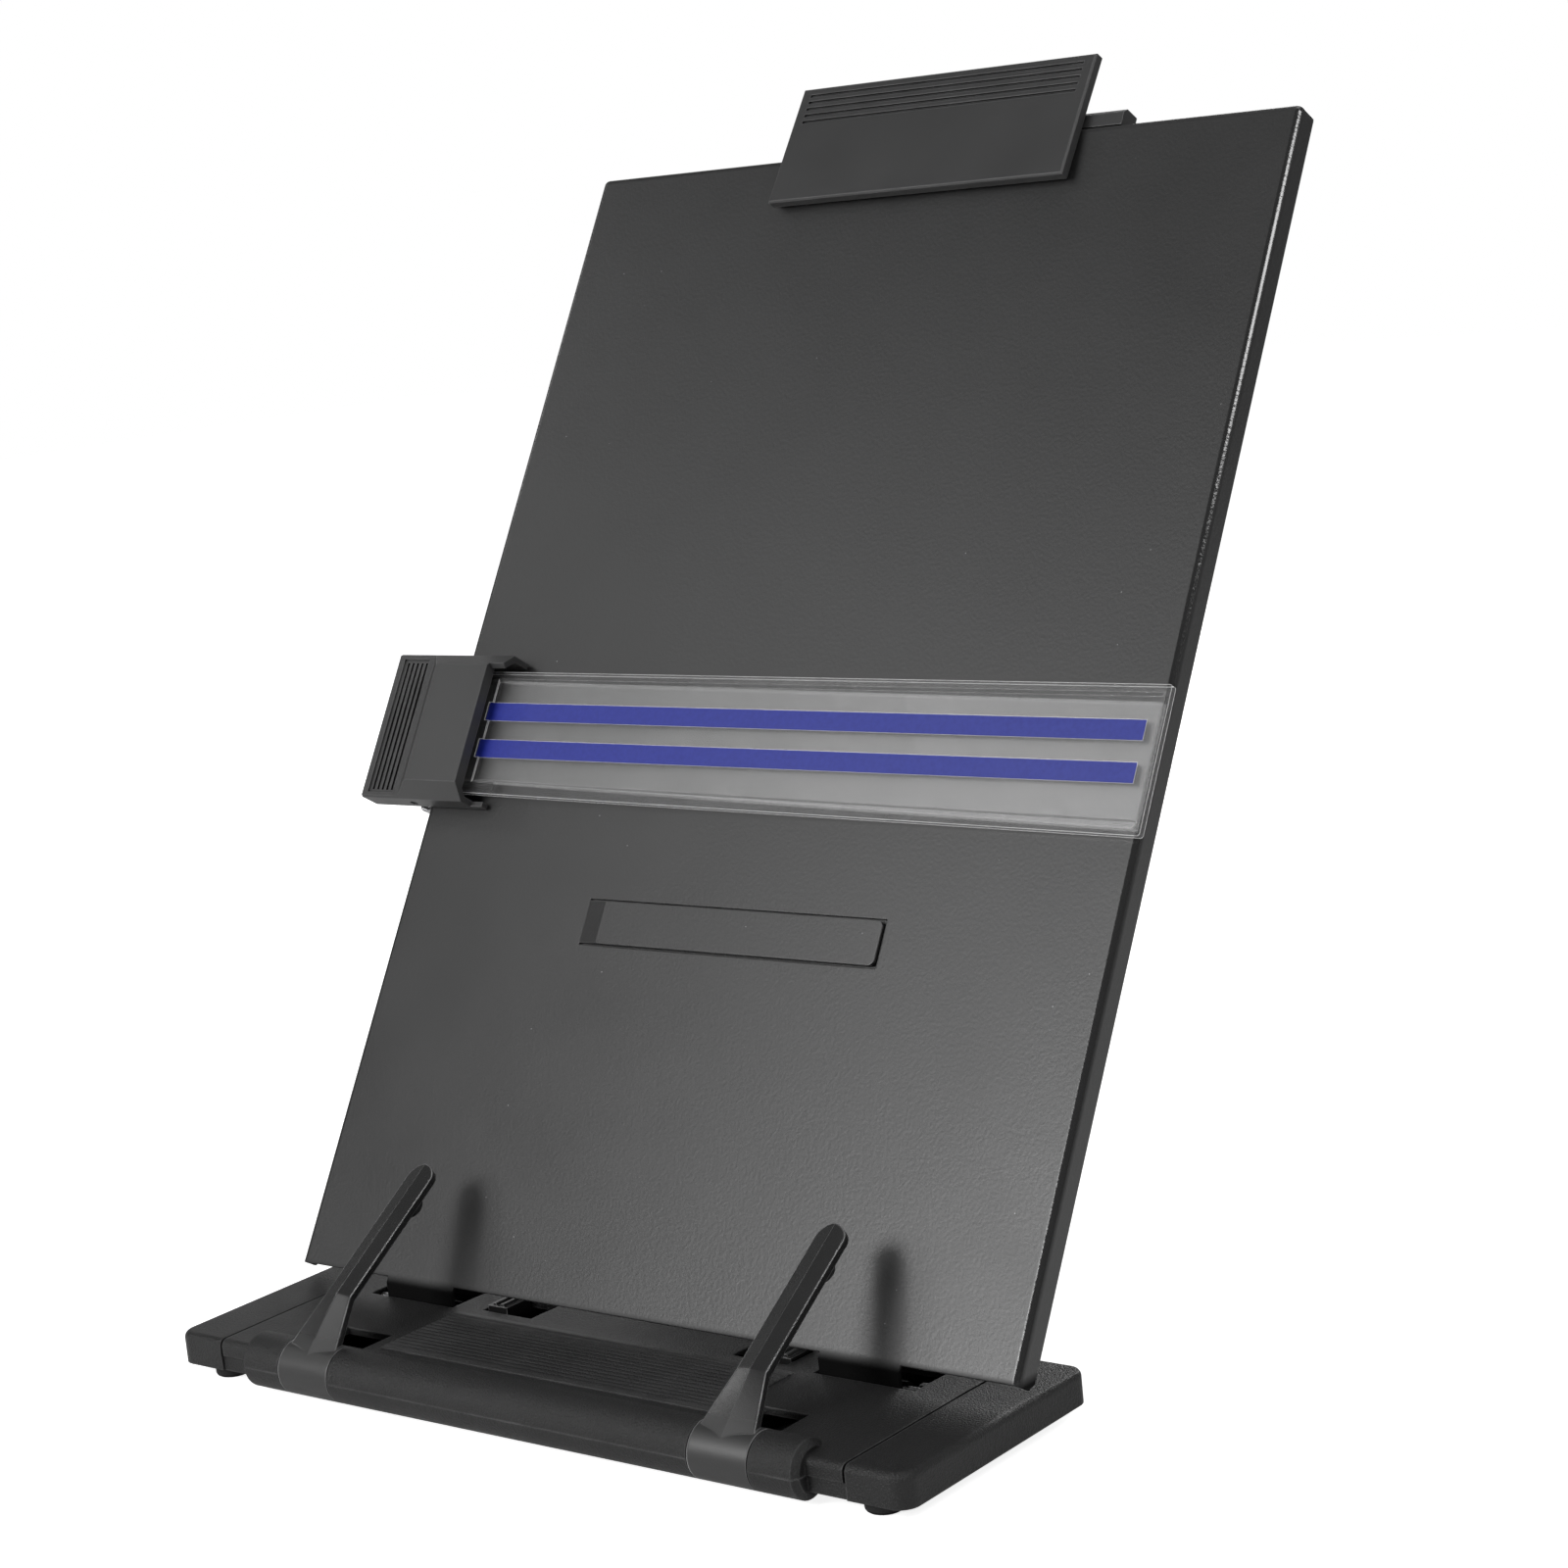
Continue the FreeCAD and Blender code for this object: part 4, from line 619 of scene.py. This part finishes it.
def make_rest(material):
    """The page rest with soft fine ribs and rounded borders."""
    pitch = (REST_BACK - REST_FRONT - 2 * REST_BORDER) / REST_RIBS
    top = [(REST_BACK + y, REST_TOP + z) for y, z in REST_BACK_EDGE]
    for i in range(REST_RIBS):
        start = REST_BACK - REST_BORDER - i * pitch
        top += [(start - pitch * share, REST_TOP + rise) for share, rise in REST_RIB]
    top += [(REST_FRONT + y, REST_TOP + z) for y, z in REST_FRONT_EDGE]
    ends = [(-REST_HALF + inset, drop) for inset, drop in REST_END]
    ends += [(REST_HALF - inset, drop) for inset, drop in reversed(REST_END)]
    rings = []
    for x, drop in ends:
        ring = [(x, y, z - drop) for y, z in top]
        rings.append(ring + [(x, REST_FRONT, REST_BOTTOM), (x, REST_BACK, REST_BOTTOM)])
    form = Form()
    form.skin(rings)
    form.finish("page_rest", material, "base", "rubber", "ledge_pad", crease=50)


def make_lip(soft):
    """The rubber strip under the jaw, with small gripping ridges."""
    low, high = LIP_S
    outline = list(zip(LIP_S, LIP_TOP))
    slant = high - LIP_SLANT
    for i in range(LIP_STEPS + 1):
        share = i / LIP_STEPS
        ridge = LIP_RIDGE * math.cos(share * LIP_RIDGES * 2 * math.pi)
        outline.append((slant - share * (slant - low), LIP_SOLE - ridge))
    left, right = LIP_X
    rings = []
    for x, inset in ((left, LIP_END_INSET), (left + LIP_END, 0.0),
                     (right - LIP_END, 0.0), (right, LIP_END_INSET)):
        rings.append([(x, s + (inset if s < LIP_MIDDLE else -inset), h) for s, h in outline])
    form = Form()
    form.skin(rings, panel_place(0, 0, 0))
    form.finish("clip_grip", soft, "clip", "rubber", "clip_lip")


def make_leg_foot(soft):
    """The leg's rubber sole: a plug in the channel and a tread with grip ribs."""
    pivot = PANEL_FOOT + UP_PANEL * LEG_PIVOT[0] + OUT_OF_PANEL * LEG_PIVOT[1]
    lean = math.acos((pivot.z - DESK - SOLE_RADIUS) / LEG_LENGTH)
    place = Matrix.Translation(pivot) @ Matrix.Rotation(lean - math.pi / 2, 4, "X")
    end = LEG_LENGTH - SOLE_RADIUS
    plug = [(PLUG_START, PLUG_BACK), (PLUG_START, PLUG_FRONT), (end, PLUG_FRONT),
            (end, PLUG_BACK)]
    form = Form()
    form.skin([[(x, y, z) for y, z in plug] for x in (-PLUG_HALF, PLUG_HALF)], place)
    pitch = 2 * SOLE_HALF / SOLE_RIBS
    rings = []
    for i in range(SOLE_RIBS):
        for share, waist in SOLE_RIB:
            x = -SOLE_HALF + pitch * (i + share)
            radius = SOLE_RADIUS - waist
            ring = [(x, end, -SOLE_RADIUS)]
            for k in range(SOLE_STEPS + 1):
                angle = math.pi * k / SOLE_STEPS
                ring.append((x, LEG_LENGTH + radius * math.sin(angle),
                             -radius * math.cos(angle)))
            rings.append(ring + [(x, end, SOLE_RADIUS)])
    rings.append([(SOLE_HALF, y, z) for _, y, z in rings[0]])
    form.skin(rings, place)
    form.finish("leg_sole", soft, "leg", "rubber", "leg_foot")


# Stage
def seen_directly(tree):
    """1 for rays from the camera or through glass, GLOSS_LEVEL off a gloss, 0 for the rest."""
    path = tree.nodes.new("ShaderNodeLightPath")
    straight = tree.nodes.new("ShaderNodeMath")
    straight.operation = "MAXIMUM"
    tree.links.new(path.outputs["Is Camera Ray"], straight.inputs[0])
    tree.links.new(path.outputs["Is Transmission Ray"], straight.inputs[1])
    seen = tree.nodes.new("ShaderNodeMath")
    seen.operation = "MULTIPLY_ADD"
    tree.links.new(path.outputs["Is Glossy Ray"], seen.inputs[0])
    seen.inputs[1].default_value = GLOSS_LEVEL
    tree.links.new(straight.outputs[0], seen.inputs[2])
    return seen.outputs[0]


def make_floor():
    """A pale desk that fades to the white background and keeps a soft shadow."""
    bpy.ops.mesh.primitive_plane_add(size=FLOOR_SIZE, location=(0, 0, DESK * MM))
    floor = bpy.context.object
    floor.name = "floor"
    n = Nodes("pale_floor")
    n.set(Base_Color=FLOOR_COLOUR, Roughness=0.8, Specular_IOR_Level=0.0, Emission_Color=WHITE)
    away = n.add("ShaderNodeVectorMath", operation="LENGTH")
    n.link(n.coords, away.inputs[0])
    fade = n.remap(away.outputs["Value"], FLOOR_GLOW, 1.0, FADE_NEAR, FADE_FAR)
    n.drive("Emission Strength", n.math("MULTIPLY", seen_directly(n.tree), fade))
    floor.data.materials.append(n.material)


def make_world():
    """Even studio light, white where it is seen directly."""
    world = bpy.data.worlds.new("studio")
    bpy.context.scene.world = world
    world.use_nodes = True
    tree = world.node_tree
    background = tree.nodes["Background"]
    background.inputs["Color"].default_value = WHITE
    strength = tree.nodes.new("ShaderNodeMapRange")
    strength.inputs["To Min"].default_value = AMBIENT
    strength.inputs["To Max"].default_value = 1.0
    tree.links.new(seen_directly(tree), strength.inputs["Value"])
    tree.links.new(strength.outputs["Result"], background.inputs["Strength"])


def area_light(name, place, target, size, power, width=None, along=None):
    """A soft box that faces a point; with a width it is a strip that runs along a direction."""
    data = bpy.data.lights.new(name, "AREA")
    data.energy = power
    data.size = size
    if width:
        data.shape = "RECTANGLE"
        data.size_y = width
    back = (Vector(place) - Vector(target)).normalized()
    side = Vector(along) if along else UP.cross(back)
    side = (side - back * side.dot(back)).normalized()
    light = bpy.data.objects.new(name, data)
    bpy.context.scene.collection.objects.link(light)
    turn = Matrix((side, back.cross(side), back)).transposed()
    light.matrix_world = Matrix.Translation(place) @ turn.to_4x4()


def make_camera():
    """The camera that took the photograph."""
    data = bpy.data.cameras.new("camera")
    data.lens = CAMERA_LENS
    data.sensor_width = CAMERA_SENSOR
    data.clip_start, data.clip_end = CAMERA_CLIP
    camera = bpy.data.objects.new("camera", data)
    bpy.context.scene.collection.objects.link(camera)
    turn = Matrix((CAMERA_RIGHT, CAMERA_UP, CAMERA_BACK)).transposed()
    camera.matrix_world = Matrix.Translation(CAMERA_PLACE) @ turn.to_4x4()
    bpy.context.scene.camera = camera


def dress():
    """Every CAD node's finish, and the pieces that stand for CAD nodes."""
    shell = moulded("base_plastic", colour=(0.008, 0.011), roughness=(0.38, 0.46),
                    grain=1900.0, strength=0.9, rounding=0.0008, wear_and_highlight=0.09)
    part = moulded("clip_plastic", colour=(0.029, 0.037), roughness=(0.42, 0.50),
                   grain=3200.0, strength=0.12, rounding=0.0005, wear_and_highlight=0.15, gloss=0.56)
    latch = moulded("latch_plastic", colour=(0.010, 0.014), roughness=(0.26, 0.34),
                    grain=1500.0, strength=0.2, rounding=0.0003, wear_and_highlight=0.5)
    soft = moulded("rubber_black", colour=(0.014, 0.019), roughness=(0.68, 0.78),
                   grain=1800.0, strength=0.25, rounding=0.0003, wear_and_highlight=0.03)
    steel = bright_steel()
    paint("panel_sheet", powder_coat("panel_coat", shade_below=HINGE_TOP))
    paint("leg_bracket leg_plate", powder_coat("leg_coat", shade_below=UNDER_ALL))
    paint("base_top base_bottom end_cap_left end_cap_right", shell)
    paint("latch_left latch_right", latch)
    paint("clip_bar clip_jaw guide_block guide_carriage ruler_clamp", part)
    paint("arm_left arm_right", arm_plastic())
    paint("arm_axle latch_spring_left latch_spring_right latch_bolt_left latch_bolt_right "
          "hinge_pins leg_axle clip_pin clip_spring guide_spring guide_pin clamp_screws", steel)
    paint("ruler", clear_acrylic())
    paint("ruler_lines", line_ink())
    make_rest(shell)
    make_feet(soft)
    make_arm_pads(soft)
    make_lip(soft)
    make_leg_foot(soft)
    make_screws(steel)
    make_latch_coils(steel)
    make_rivets(steel)


def main():
    """Dress the model, lay the floor, light it and place the camera."""
    bpy.context.scene.view_settings.view_transform = "Standard"
    dress()
    make_floor()
    make_world()
    for lamp in LAMPS:
        area_light(*lamp)
    make_camera()


main()
